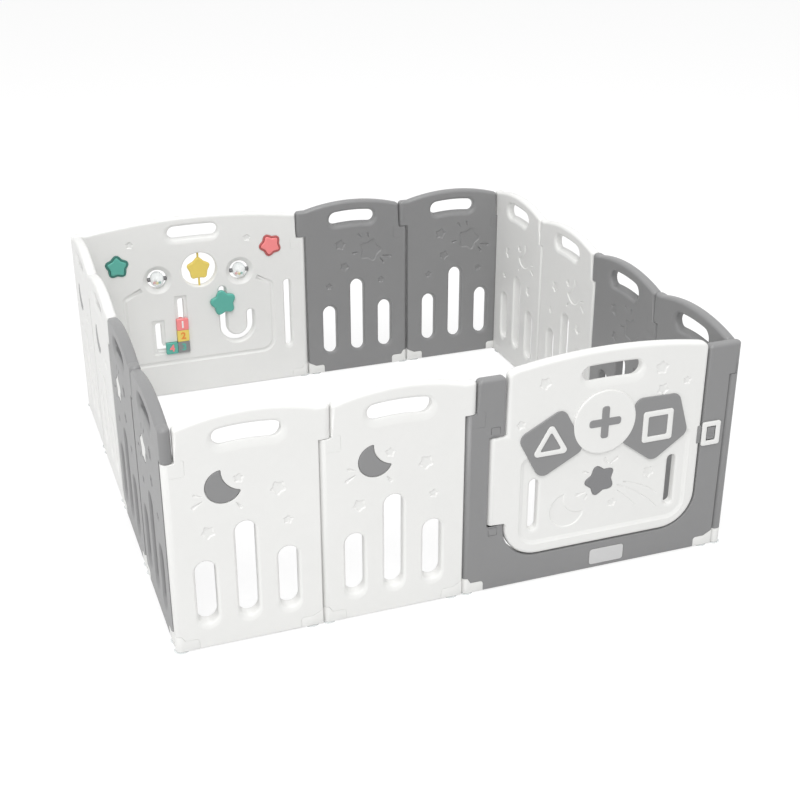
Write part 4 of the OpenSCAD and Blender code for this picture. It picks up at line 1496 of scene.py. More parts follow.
@dataclass(frozen=True)
class Gate(WidePanel):
    """The gate: a grey frame, a white door hung in it, its badges and its latch.

    Attributes:
        post_l: inner edge of the left post.
        post_r: width of the right post.
        sill_h: height of the sill.
        post_round: radius of the posts' upper corners.
        door_gap: gap between the door and the frame.
        door_h: height of the door's peak.
        arch_r: radius of its arch.
        low_r: radius of its lower corners.
        top_r: radius of its upper corners, before they meet the arch.
        hinge_x: the door's hinge axis.
        lobe_low: lower end of the hinge lobe.
        lobe_top: upper end of the hinge lobe.
        play: gap between the lobe and each lug.
        latch_h: height of the latch's middle.
        latch_w: width of the latch slider.
        latch_tall: its height.
        latch_band: width of its band.
        latch_foot: width of the grip's foot.
        star_at: middle, height, reach and turn of the star on the door.
    """

    SPOT = (0, 2)

    # Rows for Arch.hand_slot.
    HAND = (
        (5.0, 71.0, 96.5, 35.5), (5.0, 62.2, 85.0, 19.8), (5.0, 63.5, 86.0, 26.0),
        (5.0, 65.0, 95.0, 35.0),
    )
    # Lower end, upper end and width of each outline of an upright slot.
    UPRIGHT = ((146, 316, 41), (156, 308.5, 27), (158, 313, 27), (150, 319, 37))
    # Middle, reach and turn of the small stars above the sunk field and in it.
    UPPER_STARS = (
        (200, 580, 18, -85), (535, 574, 20, 85), (614, 526, 13, 85), (137, 474, 13.5, 102),
        (543, 511, 18, -85),
    )
    FIELD_STARS = ((522, 268.5, 18, -87), (417, 195.5, 13.5, 82))
    FIELD_MOON = (283, 198, 51.5, 45, 49.2, 45.8, 2.5)
    # Both ends and the radius of each ray in the field.
    FIELD_RAYS = (
        (388.5, 331.5, 398.0, 318.0, 5.2), (424.0, 329.5, 403.0, 315.0, 5.2),
        (328.0, 303.5, 342.0, 298.5, 4.6), (310.0, 237.5, 335.0, 242.5, 5.6),
        (335.0, 223.0, 341.5, 235.0, 4.8),
    )
    # Start, handle and end of each line that trails the star.
    TAILS = (
        ((448, 253.5), (512, 238), (554, 199.5)), ((430, 247.5), (502, 217), (556, 157.5)),
        ((430, 231.5), (468, 202), (492, 171.5)),
    )

    post_l: float = 95.0
    post_r: float = 68.0
    sill_h: float = 81.0
    post_round: float = 13.0
    door_gap: float = 2.5
    door_h: float = 650.85
    arch_r: float = 1550.0
    low_r: float = 100.0
    top_r: float = 28.0
    hinge_x: float = 67.0
    lobe_low: float = 195.0
    lobe_top: float = 451.0
    play: float = 2.0
    latch_h: float = 358.0
    latch_w: float = 56.0
    latch_tall: float = 70.0
    latch_band: float = 14.0
    latch_foot: float = 34.0
    star_at: tuple[float, float, float, float] = (376.5, 271.0, 45.0, 37.0)

    @property
    def post_x(self) -> float:
        """The right post's inner edge."""
        return self.length - self.shop.sizes.free - self.post_r

    @property
    def door_x0(self) -> float:
        """The door's left edge above and below its hinge lobe, clear of the post as it turns."""
        return self.hinge_x + math.hypot(self.post_l - self.hinge_x, self.shop.sizes.half) + 0.7

    @property
    def door_x1(self) -> float:
        """The door's free edge."""
        return self.post_x - self.door_gap

    @property
    def door_low(self) -> float:
        """The door's lower edge."""
        return self.sill_h + self.door_gap

    @property
    def arch(self) -> Arch:
        """The door's arched top."""
        return Arch((self.door_x0 + self.door_x1) / 2, self.door_h, self.arch_r)

    @property
    def lugs(self) -> tuple[float, float]:
        """Heights of the notch's upper and lower end."""
        return self.lobe_top + self.play, self.lobe_low - self.play

    @property
    def latch_x(self) -> float:
        """Middle of the latch slider."""
        return self.post_x + self.latch_w / 2 - 1

    # ---- frame

    def frame_outline(self) -> Outline:
        """The frame's elevation: two posts on a sill, with the hinge's notch in the left one."""
        s = self.shop.sizes
        high, low = self.lugs
        notch_x = self.hinge_x - s.half - self.play
        r = self.low_r + self.door_gap
        p = self.post_round
        corners = [
            *self.feet.cuts(self.length), *s.knuckle(self.length), (self.post_x, s.shoulder, p),
            (self.post_x, self.sill_h, r), (self.post_l, self.sill_h, r), (self.post_l, low, 6),
            (notch_x, low, 0), (notch_x, high, 0), (self.post_l, high, 0),
            (self.post_l, s.shoulder, p), (s.free, s.shoulder, p), *s.column_top(),
        ]
        return Draw.filleted(corners, 16)

    def _round_frame(self, board: Board) -> None:
        """Round the posts' tops and inner edges, then the other edges, then the upper lug."""
        s = self.shop.sizes
        lug, _ = self.lugs

        def at_top(e: Edge) -> bool:
            """Whether an edge belongs to a post's top or to its inner side above the notch."""
            a, b = (v.co for v in e.verts)
            left = upright_at(e, self.post_l) and a.z + b.z > 2 * self.lobe_top
            sides = upright_at(e, self.post_x) or left
            return not crosswise(e) and (sides or lowest(e) > s.step + 20)

        def below(e: Edge) -> bool:
            """Whether an edge lies below the upper lug, but not beside the feet."""
            under = highest(e) < s.lift + 0.1
            return under or self.feet.top - 1 < lowest(e) < self.lobe_top + 1

        board.round_ends(self.length)
        board.round_edges(8.0, 5, at_top, least=40, rim=True)
        for test in (below, lambda e: level_at(e, lug)):
            board.round_edges(4.5, 4, test, least=40)

    def _clip_outline(self, z: float, way: int) -> Outline:
        """The retaining clip beyond an end of the notch; way is 1 above it and -1 below."""
        low, high = sorted((z + way * 7.5, z + way * 27))
        return Draw.box(self.hinge_x - 12, self.hinge_x + 12, low, high, 2.5, 3)

    @staticmethod
    def _plate_outline(grow: float) -> Outline:
        """The bare plate on the sill."""
        return Draw.box(357 - grow, 464 + grow, 11 - grow, 62 + grow, 10 + grow, 4)

    def frame_board(self) -> Board:
        """Make the frame, with seats for the plate, the latch's foot and the hinge's clips."""
        board = Board(self.shop.sizes, self.frame_outline())
        self._round_frame(board)
        board.open_faces()
        board.hollow(Side.OUTER, Draw.fixed(self._plate_outline(0)), 1.2, slope=0.8, soft=0.4)
        x0, reach = self.latch_x - self.latch_foot / 2 - 2, 18.6
        x1, z0, z1 = x0 + self.latch_foot + 14, self.latch_h - reach, self.latch_h + reach
        board.pocket(Side.OUTER, Draw.fixed(Draw.box(x0, x1, z0, z1, 1.5, 3)), 5.5)
        for z, way in zip(self.lugs, (1, -1)):
            seat = Draw.grown(self._clip_outline(z, way), 0.9)
            board.pocket(Side.OUTER, Draw.fixed(seat), 6)
        board.hinge_block()
        board.close()
        return board

    # ---- door

    def door_outline(self) -> Outline:
        """The door's elevation, with the hinge lobe on its left."""
        x0, x1, arch = self.door_x0, self.door_x1, self.arch
        lobe = self.hinge_x - self.shop.sizes.half
        reach, r = self.top_r * 0.8, self.top_r * 0.75
        corners = [
            (x0, self.door_low, self.low_r), (x1, self.door_low, self.low_r),
            (x1, arch.at(x1) - 1.5, r), *arch.corners(x1 - reach, x0 + reach, 24),
            (x0, arch.at(x0) - 1.5, r), (x0, self.lobe_top, 0), (lobe, self.lobe_top, 0),
            (lobe, self.lobe_low, 0), (x0, self.lobe_low, 0),
        ]
        return Draw.filleted(corners, 12)

    def _round_door(self, board: Board) -> None:
        """Round the lobe to a half cylinder, then the rims, then the lobe's underside."""
        half = self.shop.sizes.half
        near, low = self.hinge_x - half + SNAP, self.lobe_low
        board.round_edges(
            half - SNAP, 8, lambda e: upright(e) and all(v.co.x < near for v in e.verts)
        )
        board.round_edges(10.0, 6, lambda e: not level_at(e, low), least=35, rim=True)
        board.round_edges(3.0, 3, lambda e: level_at(e, low), least=35, rim=True)

    def door_board(self) -> Board:
        """Make the door."""
        board = Board(self.shop.sizes, self.door_outline())
        self._round_door(board)
        board.open_faces()
        board.slot(*self.arch.hand_slot(self.HAND, level=True))
        self._door_field(board)
        upper = [Draw.star_shape(*star) for star in self.UPPER_STARS]
        for shape in upper:
            board.hollow(Side.OUTER, shape, 3.0)
        for shape in (*upper, *self._field_pictures()):
            board.hollow(Side.INNER, shape, 2.6, slope=3.0)
        board.close()
        return board

    def _field_pictures(self) -> list[Shape]:
        """Stars and the crescent inside the sunk field."""
        stars = [Draw.star_shape(*star) for star in self.FIELD_STARS]
        return [*stars, Draw.crescent_shape(*self.FIELD_MOON)]

    def _tails(self) -> list[Shape]:
        """Fine lines that trail the star down to the right."""
        out = []
        for (x0, z0), (cx, cz), (x1, z1) in self.TAILS:
            path = []
            for i in range(11):
                t = i / 10
                a, b, c = (1 - t) ** 2, 2 * t * (1 - t), t**2
                path.append((a * x0 + b * cx + c * x1, a * z0 + b * cz + c * z1))
            out.append(Draw.line_shape(path, 2.8))
        return out

    def _door_field(self, board: Board) -> None:
        """Sink the field into the door's face, with its slots, star pocket and pictures."""
        low, left, right = self.door_low + 30, self.door_x0 + 41, self.door_x1 - 32
        corners = [(left, low, 52), (right, low, 52), (right, 386, 24), (left, 376, 24)]
        field = Draw.fixed(Draw.filleted(corners, 10))
        depth = 3.6
        rim = list(board.hollow(Side.OUTER, field, depth, slope=11.0, soft=0.5, floor=False))
        y = depth - board.half
        star = Draw.star_shape(*self.star_at)
        # Each picture's shape, depth and slope.
        sunk: list[tuple[Shape, float, float]] = [
            *((shape, 2.8, 3.2) for shape in self._field_pictures()),
            *((Draw.drop_shape(*ray), 2.4, 2.6) for ray in self.FIELD_RAYS),
            *((shape, 1.2, 1.0) for shape in self._tails()),
            (lambda grow: star(grow + 0.9), 4.6, 0.3),
        ]
        for shape, deep, slope in sunk:
            rows = (
                (0.9, 0.0), (0.2, 0.0), (-0.2, 0.1), (-slope * 0.5, 0.62), (-slope, 1.0),
                (-slope - 0.35, 1.0),
            )
            first, last = board.wall([(shape(grow), y + deep * share) for grow, share in rows])
            rim += first
            board.fill(last)
        for way in (-1, 1):
            x = self.arch.mid + 1.5 + way * 204.5
            rim += board.slot(*(Draw.stadium(x, *row) for row in self.UPRIGHT), sunk=depth)
        board.fill(rim)

    # ---- badges

    def badges(self) -> None:
        """Make the three badges and the generic signs on them."""
        back, face = 4.0 - self.shop.sizes.half, -4.9 - self.shop.sizes.half
        disc_x, disc_z = self.arch.mid - 11, 446.0
        square = (disc_x - 150, 408.0)
        five = (disc_x + 154, 410.0)
        side_badges = (
            ("square_badge", Draw.ngon(*square, 4, 67, 25, -17)),
            ("pentagon_badge", Draw.ngon(*five, 5, 75, 25, -91)),
        )
        for name, outline in side_badges:
            badge = Shell.rolled(Draw.fixed(outline), back, face + 0.9, 2.6, 1.7)
            self._fit_badge(badge, name, GREY, name)
        disc = Draw.fixed(Draw.circle(disc_x, disc_z, 90, 72))
        self._fit_badge(Shell.rolled(disc, back, face, 3.2, 2.2), "disc_badge", WHITE, "disc_badge")
        # A triangle and a square: middle, sides, turn, and reach and rounding of both outlines.
        bands = (
            ("square_badge", (square[0] - 4, square[1]), 3, 90, (42, 9.9), (27.7, 4)),
            ("pentagon_badge", (five[0] + 4, five[1]), 4, 45, (52, 8), (35.5, 4)),
        )
        sign = face - 1.9
        for node, mid, sides, turn, *sizes in bands:
            outer, inner = (Draw.ngon(*mid, sides, *size, turn) for size in sizes)
            band = Shell.banded(outer, inner, face + 1.5, sign, 1.4)
            self._fit_badge(band, f"{node}_sign", WHITE, node)
        plus = Draw.fixed(self._plus(disc_x, disc_z))
        shell = Shell.rolled(plus, face + 1, sign, 2.2, 1.6)
        self._fit_badge(shell, "disc_badge_sign", GREY, "disc_badge")

    @staticmethod
    def _plus(x: float, z: float) -> Outline:
        """A plus sign with round arms about (x, z)."""
        arm, half_w, r = 46.0, 11.0, 7.9
        corners = []
        for turn in range(4):
            around = Matrix.Rotation(-math.tau / 4 * turn, 2)
            for px, pz, fillet in ((half_w, -half_w, 0.0), (arm, -half_w, r), (arm, half_w, r)):
                dx, dz = Vector((px, pz)) @ around
                corners.append((x + dx, z + dz, fillet))
        return Draw.filleted(corners, 5)

    def _fit_badge(self, shell: Shell, name: str, finish: Finish, node: str) -> None:
        """Fit a badge, or a sign that shares its badge's node."""
        self.fit(shell, f"{name}_skin", finish, "door", node)

    # ---- small parts

    def small_parts(self) -> None:
        """Make the door's star and keeper, the frame's clips and plate, and finish the hinge's
        pins.
        """
        half = self.shop.sizes.half
        star = Shell.rolled(Draw.star_shape(*self.star_at), 6.0 - half, 2.4 - half, 4.6, 3.2)
        self.fit(star, "door_star_skin", DARK_GREY, "door", "door_star", GREY.name)
        x1, z = self.door_x1, self.latch_h
        keeper = Shell()
        keeper.slab(Draw.box(x1 - 12, x1, z - 26, z + 26, 2, 3), -half - 1, 5 - half)
        keeper.round_edges(0.8, 2)
        self.fit(keeper, "door_keeper_skin", GREY, "door", "door_keeper")
        for tag, height, way in zip(("upper", "lower"), self.lugs, (1, -1)):
            shape = Draw.fixed(self._clip_outline(height, way))
            clip = Shell.rolled(shape, 6 - half, 0.1 - half, 1.6, 1.2)
            self.fit(clip, f"hinge_clip_{tag}", GREY, "gate")
        plate = Draw.fixed(self._plate_outline(-2.2))
        blank = Shell.rolled(plate, 1.2 - half, -half - 0.6, 1.6, 1.0)
        self.fit(blank, "gate_blank_plate", PALE, "gate", slot=WHITE.name)
        self._latch()
        self.shop.dress("gate_hinge_pins", GREY)

    def _latch(self) -> None:
        """Make the white slider, the ribbed grip inside it and the grip's foot."""
        face = -self.shop.sizes.half
        w, h, t = self.latch_w / 2, self.latch_tall / 2, self.latch_band

        def box(dx: float, dz: float, r: float, up: float = 0.0) -> Outline:
            """A rectangle about the latch's middle, or a little above it."""
            x, z = self.latch_x, self.latch_h + up
            return Draw.box(x - dx, x + dx, z - dz, z + dz, r, 4)

        ring = Shell.banded(box(w, h, 6), box(w - t, h - t, 2), face - 0.5, face - 5.5, 1.6)
        self.fit(ring, "latch_slider_skin", WHITE, "latch", "latch_slider")
        for k in (-1, 0, 1):
            rib = Shell()
            rib.slab(box(8, 1.3, 0.6, k * 8.0), face - 4.2, face - 5.2)
            rib.round_edges(0.4, 2)
            self.fit(rib, f"latch_rib_{k + 2}", GREY, "latch")
        grip = Shell.rolled(Draw.fixed(box(12, 18, 3)), face - 0.5, face - 4.4, 1.8, 1.8)
        self.fit(grip, "latch_grip_skin", GREY, "latch", "latch_grip")
        sole = Draw.fixed(box(self.latch_foot / 2, 18, 1.5))
        foot = Shell.rolled(sole, face + 5, face - 0.5, 0.6, 0.6)
        self.fit(foot, "latch_foot_skin", GREY, "latch", "latch_grip")

    def build(self) -> None:
        """Make the whole gate."""
        self.fit(self.frame_board(), "gate_frame_skin", GREY, "gate", "gate_frame")
        self.fit(self.door_board(), "gate_door_skin", WHITE, "door", "gate_door")
        self.badges()
        self.small_parts()
        self.feet.build(self.place, self.length, "gate_feet", "gate")


# -------- activity panel


@dataclass(frozen=True)
class ActivityPanel(WidePanel):
    """The white panel with play pieces on its inner face.

    Attributes:
        arch_h: height of the arch's peak.
        arch_r: radius of the arch.
        roller_x: distance of each roller from the middle between them.
        roller_shift: how far that middle lies beside the panel's.
        roller_h: height of the rollers.
        spin_x: distance of the turning star from the panel's middle.
        spin_h: height of the turning star.
        slider_x: distance of the slider's straight slot from the panel's middle.
        slider_h: height of the slider star at rest.
        track_x: distance of the tall track from the panel's middle.
        track_step: distance between the tall and the short track.
        track_low: height of the blocks' lowest row.
        block: width and height of a block.
        block_step: distance between two blocks.
    """

    SPOT = (2, 2)

    # Rows for Arch.hand_slot.
    HAND = ((-2, 58, 96, 35), (-5, 52.5, 85, 20.5), (-4, 54, 86, 24), (0, 57, 97.5, 36.5))
    # Lower end, upper end and width of each outline of the upright slot.
    UPRIGHT = ((115, 381, 36), (126, 375, 23), (131, 377, 23), (115, 381, 36))
    # Sections of the openings, as radius or width and depth from the inner face outwards. A
    # depth of 15 is a face.
    DISH = (
        (51.5, 15), (49.6, 15), (47, 13), (43, 10), (39, 7), (36, 4.9), (34.2, 3.7), (33.4, 1.5),
        (33.2, -6), (33.4, -13), (34.4, -15), (36.5, -15),
    )
    WINDOW = (
        (65.5, 15), (64, 15), (61.6, 14), (60.2, 11), (60, 0), (60.2, -11), (61.6, -14), (64, -15),
        (65.5, -15),
    )
    J_SLOT = (
        (37.5, 15), (35, 15), (31.5, 13.6), (27, 10), (22.5, 6), (21, 3), (21, -11), (22, -14),
        (24, -15), (26, -15),
    )
    SLIT = ((1.2, 11.0), (0.0, 11.0), (0.0, -14.0), (0.8, -15), (2.0, -15))
    # Growth of a button's rim and its rise above the inner face.
    BUTTON_RIM = (
        (0, -13), (0, 1.2), (-0.6, 2.4), (-1.8, 3), (-4.4, 3), (-5.6, 2.4), (-6.2, 1.2),
        (-6.2, -13), (0, -13),
    )
    # Place beside a roller's middle, above it and across it, and finish of each bead.
    BEADS = ((0, -14, 4, YELLOW), (9, -15, -4, RED), (-9, -13, 2, TEAL), (3, -9, -9, BRIGHT))
    # Colour word, column, row, finish and number's finish of each block.
    BLOCKS = (
        ("red", 0, 2, RED, BRIGHT), ("yellow", 0, 1, YELLOW, ORANGE), ("grey", 0, 0, GREY, TEAL),
        ("teal", 1, 0, TEAL, RED),
    )

    arch_h: float = 640.0
    arch_r: float = 2200.0
    roller_x: float = 142.0
    roller_shift: float = 16.0
    roller_h: float = 429.0
    spin_x: float = -18.0
    spin_h: float = 450.0
    slider_x: float = -93.0
    slider_h: float = 323.0
    track_x: float = 54.0
    track_step: float = 82.0
    track_low: float = 157.6
    block: float = 41.0
    block_step: float = 41.6

    @property
    def mid(self) -> float:
        """Its middle."""
        return self.shop.sizes.pitch

    @property
    def arch(self) -> Arch:
        """The arched top."""
        return Arch(self.mid, self.arch_h, self.arch_r)

    @property
    def buttons(self) -> tuple[Corner, Corner]:
        """Middle, height and turn of the teal and of the red star button."""
        return (self.mid + 257, 491.0, 90.0), (self.mid - 270, 510.0, 66.0)

    @property
    def rollers_at(self) -> dict[str, float]:
        """Middle of each roller."""
        mid = self.mid - self.roller_shift
        return {"right": mid - self.roller_x, "left": mid + self.roller_x}

    # ---- board

    def outline(self) -> Outline:
        """Its elevation."""
        s = self.shop.sizes
        length = self.length
        arch = self.arch.corners(length - 30, s.free, 40)
        top = [*s.knuckle(length), (length - 20, s.shoulder, 0), *arch, *s.column_top()]
        return Draw.filleted([*self.feet.cuts(length), *top])

    def j_outline(self, width: float) -> Outline:
        """The slider's J-shaped slot at a width."""
        r, bend, inset = width / 2, 48.0, 10.5
        x0, low = self.mid + self.slider_x, 229.0
        x1, cx = x0 - 2 * bend, x0 - bend
        out = Draw.arc(x0, 377 - inset, r, 0, 180, 8)
        out += Draw.arc(cx, low, bend - r, 0, -180, 14)
        out += Draw.arc(x1, 281 - inset, r, 0, 180, 8)
        return out + Draw.arc(cx, low, bend + r, 180, 360, 20)

    def _h_outline(
        self, reach: float, rows: tuple[float, ...], radii: tuple[float, ...], steps: int
    ) -> Outline:
        """An outline along both tracks and the bar that joins them at the bottom.

        Args:
            reach: half its width.
            rows: height of the bar's lower and upper edge, of the short end and the tall end.
            radii: radius of the lower corners, of the ends and of the inner corners.
            steps: segments in each corner.

        Returns:
            The outline.
        """
        tall, short = self.mid + self.track_x, self.mid + self.track_x + self.track_step
        low, bar, short_top, tall_top = rows
        foot, end, nook = radii
        corners = [
            (tall - reach, low, foot), (short + reach, low, foot), (short + reach, short_top, end),
            (short - reach, short_top, end), (short - reach, bar, nook), (tall + reach, bar, nook),
            (tall + reach, tall_top, end), (tall - reach, tall_top, end),
        ]
        return Draw.filleted(corners, steps)

    def board(self) -> Board:
        """Make the board."""
        board = Board(self.shop.sizes, self.outline())
        board.round_ends(self.length)
        board.round_rims(self.feet.top)
        board.open_faces()
        board.slot(*self.arch.hand_slot(self.HAND, level=True))
        board.slot(*(Draw.stadium(self.mid - 325, *row) for row in self.UPRIGHT))
        self._openings(board)
        self._track(board)
        self._pictures(board)
        board.close()
        return board

    def _openings(self, board: Board) -> None:
        """Let in the rollers' dishes, the star's window, the J slot and the buttons' seats."""
        for x in self.rollers_at.values():
            board.hole([(Draw.circle(x, self.roller_h, r), y) for r, y in self.DISH])
        x = self.mid + self.spin_x
        board.hole([(Draw.circle(x, self.spin_h, r, 64), y) for r, y in self.WINDOW])
        board.hole([(self.j_outline(w), y) for w, y in self.J_SLOT])
        for button in self.buttons:
            seat = self._button_shape(button)
            board.pocket(Side.INNER, lambda grow, seat=seat: seat(grow + 0.5), 14)

    @staticmethod
    def _button_shape(button: Corner) -> Shape:
        """The rim of a button, from its middle, height and turn."""
        x, z, turn = button
        return Draw.star_shape(x, z, 40, turn, 0.66, 0.34)

    def _track(self, board: Board) -> None:
        """Sink the h-shaped track for the blocks, with its slit."""
        low, w, reach = self.track_low, 21.1, 10.4
        seat = self._h_outline(w, (low - 0.6, low - 0.6 + 2 * w, 283, 364), (3, 3, 1), 3)
        floor = board.hollow(Side.INNER, Draw.fixed(seat), 4.0, slope=0.5, soft=0.8, floor=False)
        z = low + self.block / 2
        slit = self._h_outline(reach, (z - reach, z + reach, 273, 354), (8, 9, 2), 5)
        first, last = board.wall([(Draw.grown(slit, g), y) for g, y in self.SLIT])
        board.fill([*floor, *first])
        board.rims[Side.OUTER] += last

    def _pictures(self, board: Board) -> None:
        """Sink the stars and the house-shaped line round the play pieces."""
        mid = self.mid
        for x, z in ((mid + 210, 561), (mid - 189, 545)):
            board.hollow(Side.INNER, Draw.star_shape(x, z, 13.5, 96), 3.0)
        board.hinge_block()
        left, right, low = mid + 243, mid - 269, 123.5
        corners = [
            (mid + 183, 400.5, 0), (left, 371.0, 18), (left, low, 42), (right, low, 42),
            (right, 372.0, 18), (mid - 216, 402.0, 0),
        ]
        line = Draw.line_shape(Draw.filleted(corners, 8), 16.0)
        board.hollow(Side.INNER, line, 3.4, slope=5.6, soft=0.7)

    # ---- play pieces

    def star_buttons(self) -> None:
        """Make the two star buttons in their rims."""
        half = self.shop.sizes.half
        tones = ((TEAL, DARK_TEAL, "teal"), (RED, DARK_RED, "red"))
        for button, (face, rim, word) in zip(self.buttons, tones):
            shape = self._button_shape(button)
            band = Shell.ring([(shape(grow), half + rise) for grow, rise in self.BUTTON_RIM])
            self.fit(band, f"{word}_rim", rim, "activity", "button_rims", DARK_TEAL.name)
            cap = Shell.puffed(lambda grow, shape=shape: shape(grow - 6.8), 7.0, half + 6, 3.6)
            self.fit(cap, f"{word}_button_skin", face, f"{word}_button", f"{word}_button")

    def slider(self) -> None:
        """Make the star that slides in the J slot, with its stem and washer."""
        half = self.shop.sizes.half
        x, z, node = self.mid + self.slider_x, self.slider_h, "slider_star"
        shape = Draw.star_shape(x, z, 46, 80, 0.60, 0.31)
        star = Shell.puffed(shape, half + 0.6, half + 12.6, 5.2)
        self.fit(star, f"{node}_skin", TEAL, node, node)
        self._stem(x, z, node, TEAL)

    def _stem(self, x: float, z: float, node: str, finish: Finish) -> None:
        """Make a stem through the panel, with its washer behind.

        Args:
            x: middle of the stem.
            z: height of that middle.
            node: the node that it shares, named as its body is.
            finish: its finish.
        """
        half, washer, stem_r = self.shop.sizes.half, 14, 8
        back, rear, front = -half - 3.55, -half - 0.6, half + 1.0
        profile = [(0, back), (12.5, back), (washer, -half - 2.4), (washer, rear)]
        profile += [(stem_r, rear), (stem_r, front), (0, front)]
        stem = Shell()
        stem.spun(profile, 28)
        stem.moved(Matrix.Translation((x, 0, z)) @ Matrix.Rotation(math.radians(-90), 4, "X"))
        self.fit(stem, f"{node}_stem", finish, node, node)

    def spinner(self) -> None:
        """Make the turning star on its upright axle."""
        x, z, node = self.mid + self.spin_x, self.spin_h, "spinning_star"
        shape = Draw.star_shape(x, z, 41, 90, 0.72, 0.24)
        half, reach, steps = 7.0, 6.0, 12
        loops: list[Loop] = [(shape(-half), -half)]
        for i in range(steps + 1):
            a = math.pi * i / steps
            loops.append((shape(-reach * (1 - math.sin(a))), -half * math.cos(a)))
        star = Shell.stacked([*loops, (shape(-half), half)])
        self.fit(star, f"{node}_skin", YELLOW, node, node)
        axle, end, r, thin = Shell(), 68, 3.5, 2.6
        profile = [(0, -end), (r, -end), (r, -34), (thin, -32), (thin, 38), (r, 40), (r, end)]
        axle.spun([*profile, (0, end)], 20)
        axle.moved(Matrix.Translation((x, 0, z)))
        self.fit(axle, f"{node}_axle", YELLOW, node, node)

    def rollers(self) -> None:
        """Make the two clear rattles, with beads inside."""
        r, half_l = 27.0, 22.6
        angles = [math.radians(-68 + 136 * i / 14) for i in range(15)]
        barrel = [(r * math.cos(a), 23.5 * math.sin(a)) for a in angles]
        for tag in ("left", "right"):
            x, node = self.rollers_at[tag], f"{tag}_roller"
            place = Matrix.Translation((x, 0, self.roller_h))
            turn = place @ Matrix.Rotation(math.radians(90), 4, "Y")
            drum = Shell()
            drum.spun([(0, -half_l), (7, -half_l), *barrel, (7, half_l), (0, half_l)], 36)
            drum.moved(turn)
            self.fit(drum, f"{node}_drum", CLEAR, node, node)
            axle = Shell()
            for way in (-1, 1):
                rows = ((0, 41), (3.5, 41), (3.5, 32), (7.4, 31.6), (7.4, 23), (0, 22.8))
                axle.spun([(radius, way * along) for radius, along in rows], 20)
            axle.moved(turn)
            self.fit(axle, f"{node}_axle", DARK_GREY, node, node, GREY.name)
            for i, (dx, dz, dy, finish) in enumerate(self.BEADS):
                bead = Shell()
                bmesh.ops.create_icosphere(bead.bm, subdivisions=3, radius=5.0)
                bead.moved(Matrix.Translation((x + dx, dy, self.roller_h + dz)))
                self.fit(bead, f"{node}_bead_{i + 1}", finish, node, node, CLEAR.name)

    def blocks(self) -> None:
        """Make the four blocks in their track, each with a plain raised number."""
        half, size = self.shop.sizes.half, self.block
        for number, (word, column, row, finish, mark) in enumerate(self.BLOCKS, 1):
            node = f"{word}_block"
            x = self.mid + self.track_x + column * self.block_step
            z = self.track_low + row * self.block_step
            outline = Draw.box(x - size / 2, x + size / 2, z, z + size, 4, 4)
            block = Shell.puffed(Draw.fixed(outline), half - 3.7, half + 9.2, 1.8)
            self.fit(block, f"{node}_skin", finish, node, node)
            self._stem(x, z + size / 2, node, finish)
            mesh = self._number(number, x, z + size / 2)
            self.shop.fit(mesh, f"{node}_number", mark, node, slot=finish.name)

    def _number(self, number: int, x: float, z: float) -> bpy.types.Mesh:
        """Make a raised plain number, read from inside the pen.

        Args:
            number: the number.
            x: its middle.
            z: height of its middle.

        Returns:
            Its mesh, in place.
        """
        curve = bpy.data.curves.new("number", "FONT")
        settings = {"body": str(number), "size": 34.0, "align_x": "CENTER", "align_y": "CENTER"}
        settings |= {"extrude": 0.6, "offset": 0.9, "bevel_depth": 0.3, "bevel_resolution": 2}
        for key, value in settings.items():
            setattr(curve, key, value)
        maker = hung("number_maker", curve)
        bpy.context.view_layer.update()
        graph = bpy.context.evaluated_depsgraph_get()
        mesh = bpy.data.meshes.new_from_object(maker.evaluated_get(graph))
        bpy.data.objects.remove(maker)
        bpy.data.curves.remove(curve)
        raised = Matrix.Translation((x, self.shop.sizes.half + 9.1, z))
        turn = Matrix.Rotation(math.pi, 4, "Z") @ Matrix.Rotation(math.pi / 2, 4, "X")
        mesh.transform(self.place.matrix @ raised @ turn)
        return mesh

    def build(self) -> None:
        """Make the whole activity panel."""
        self.fit(self.board(), "activity_panel_skin", WHITE, "activity", "activity_panel")
        self.star_buttons()
        self.slider()
        self.spinner()
        self.rollers()
        self.blocks()
        self.feet.build(self.place, self.length, "activity_feet", "activity")


# -------- studio


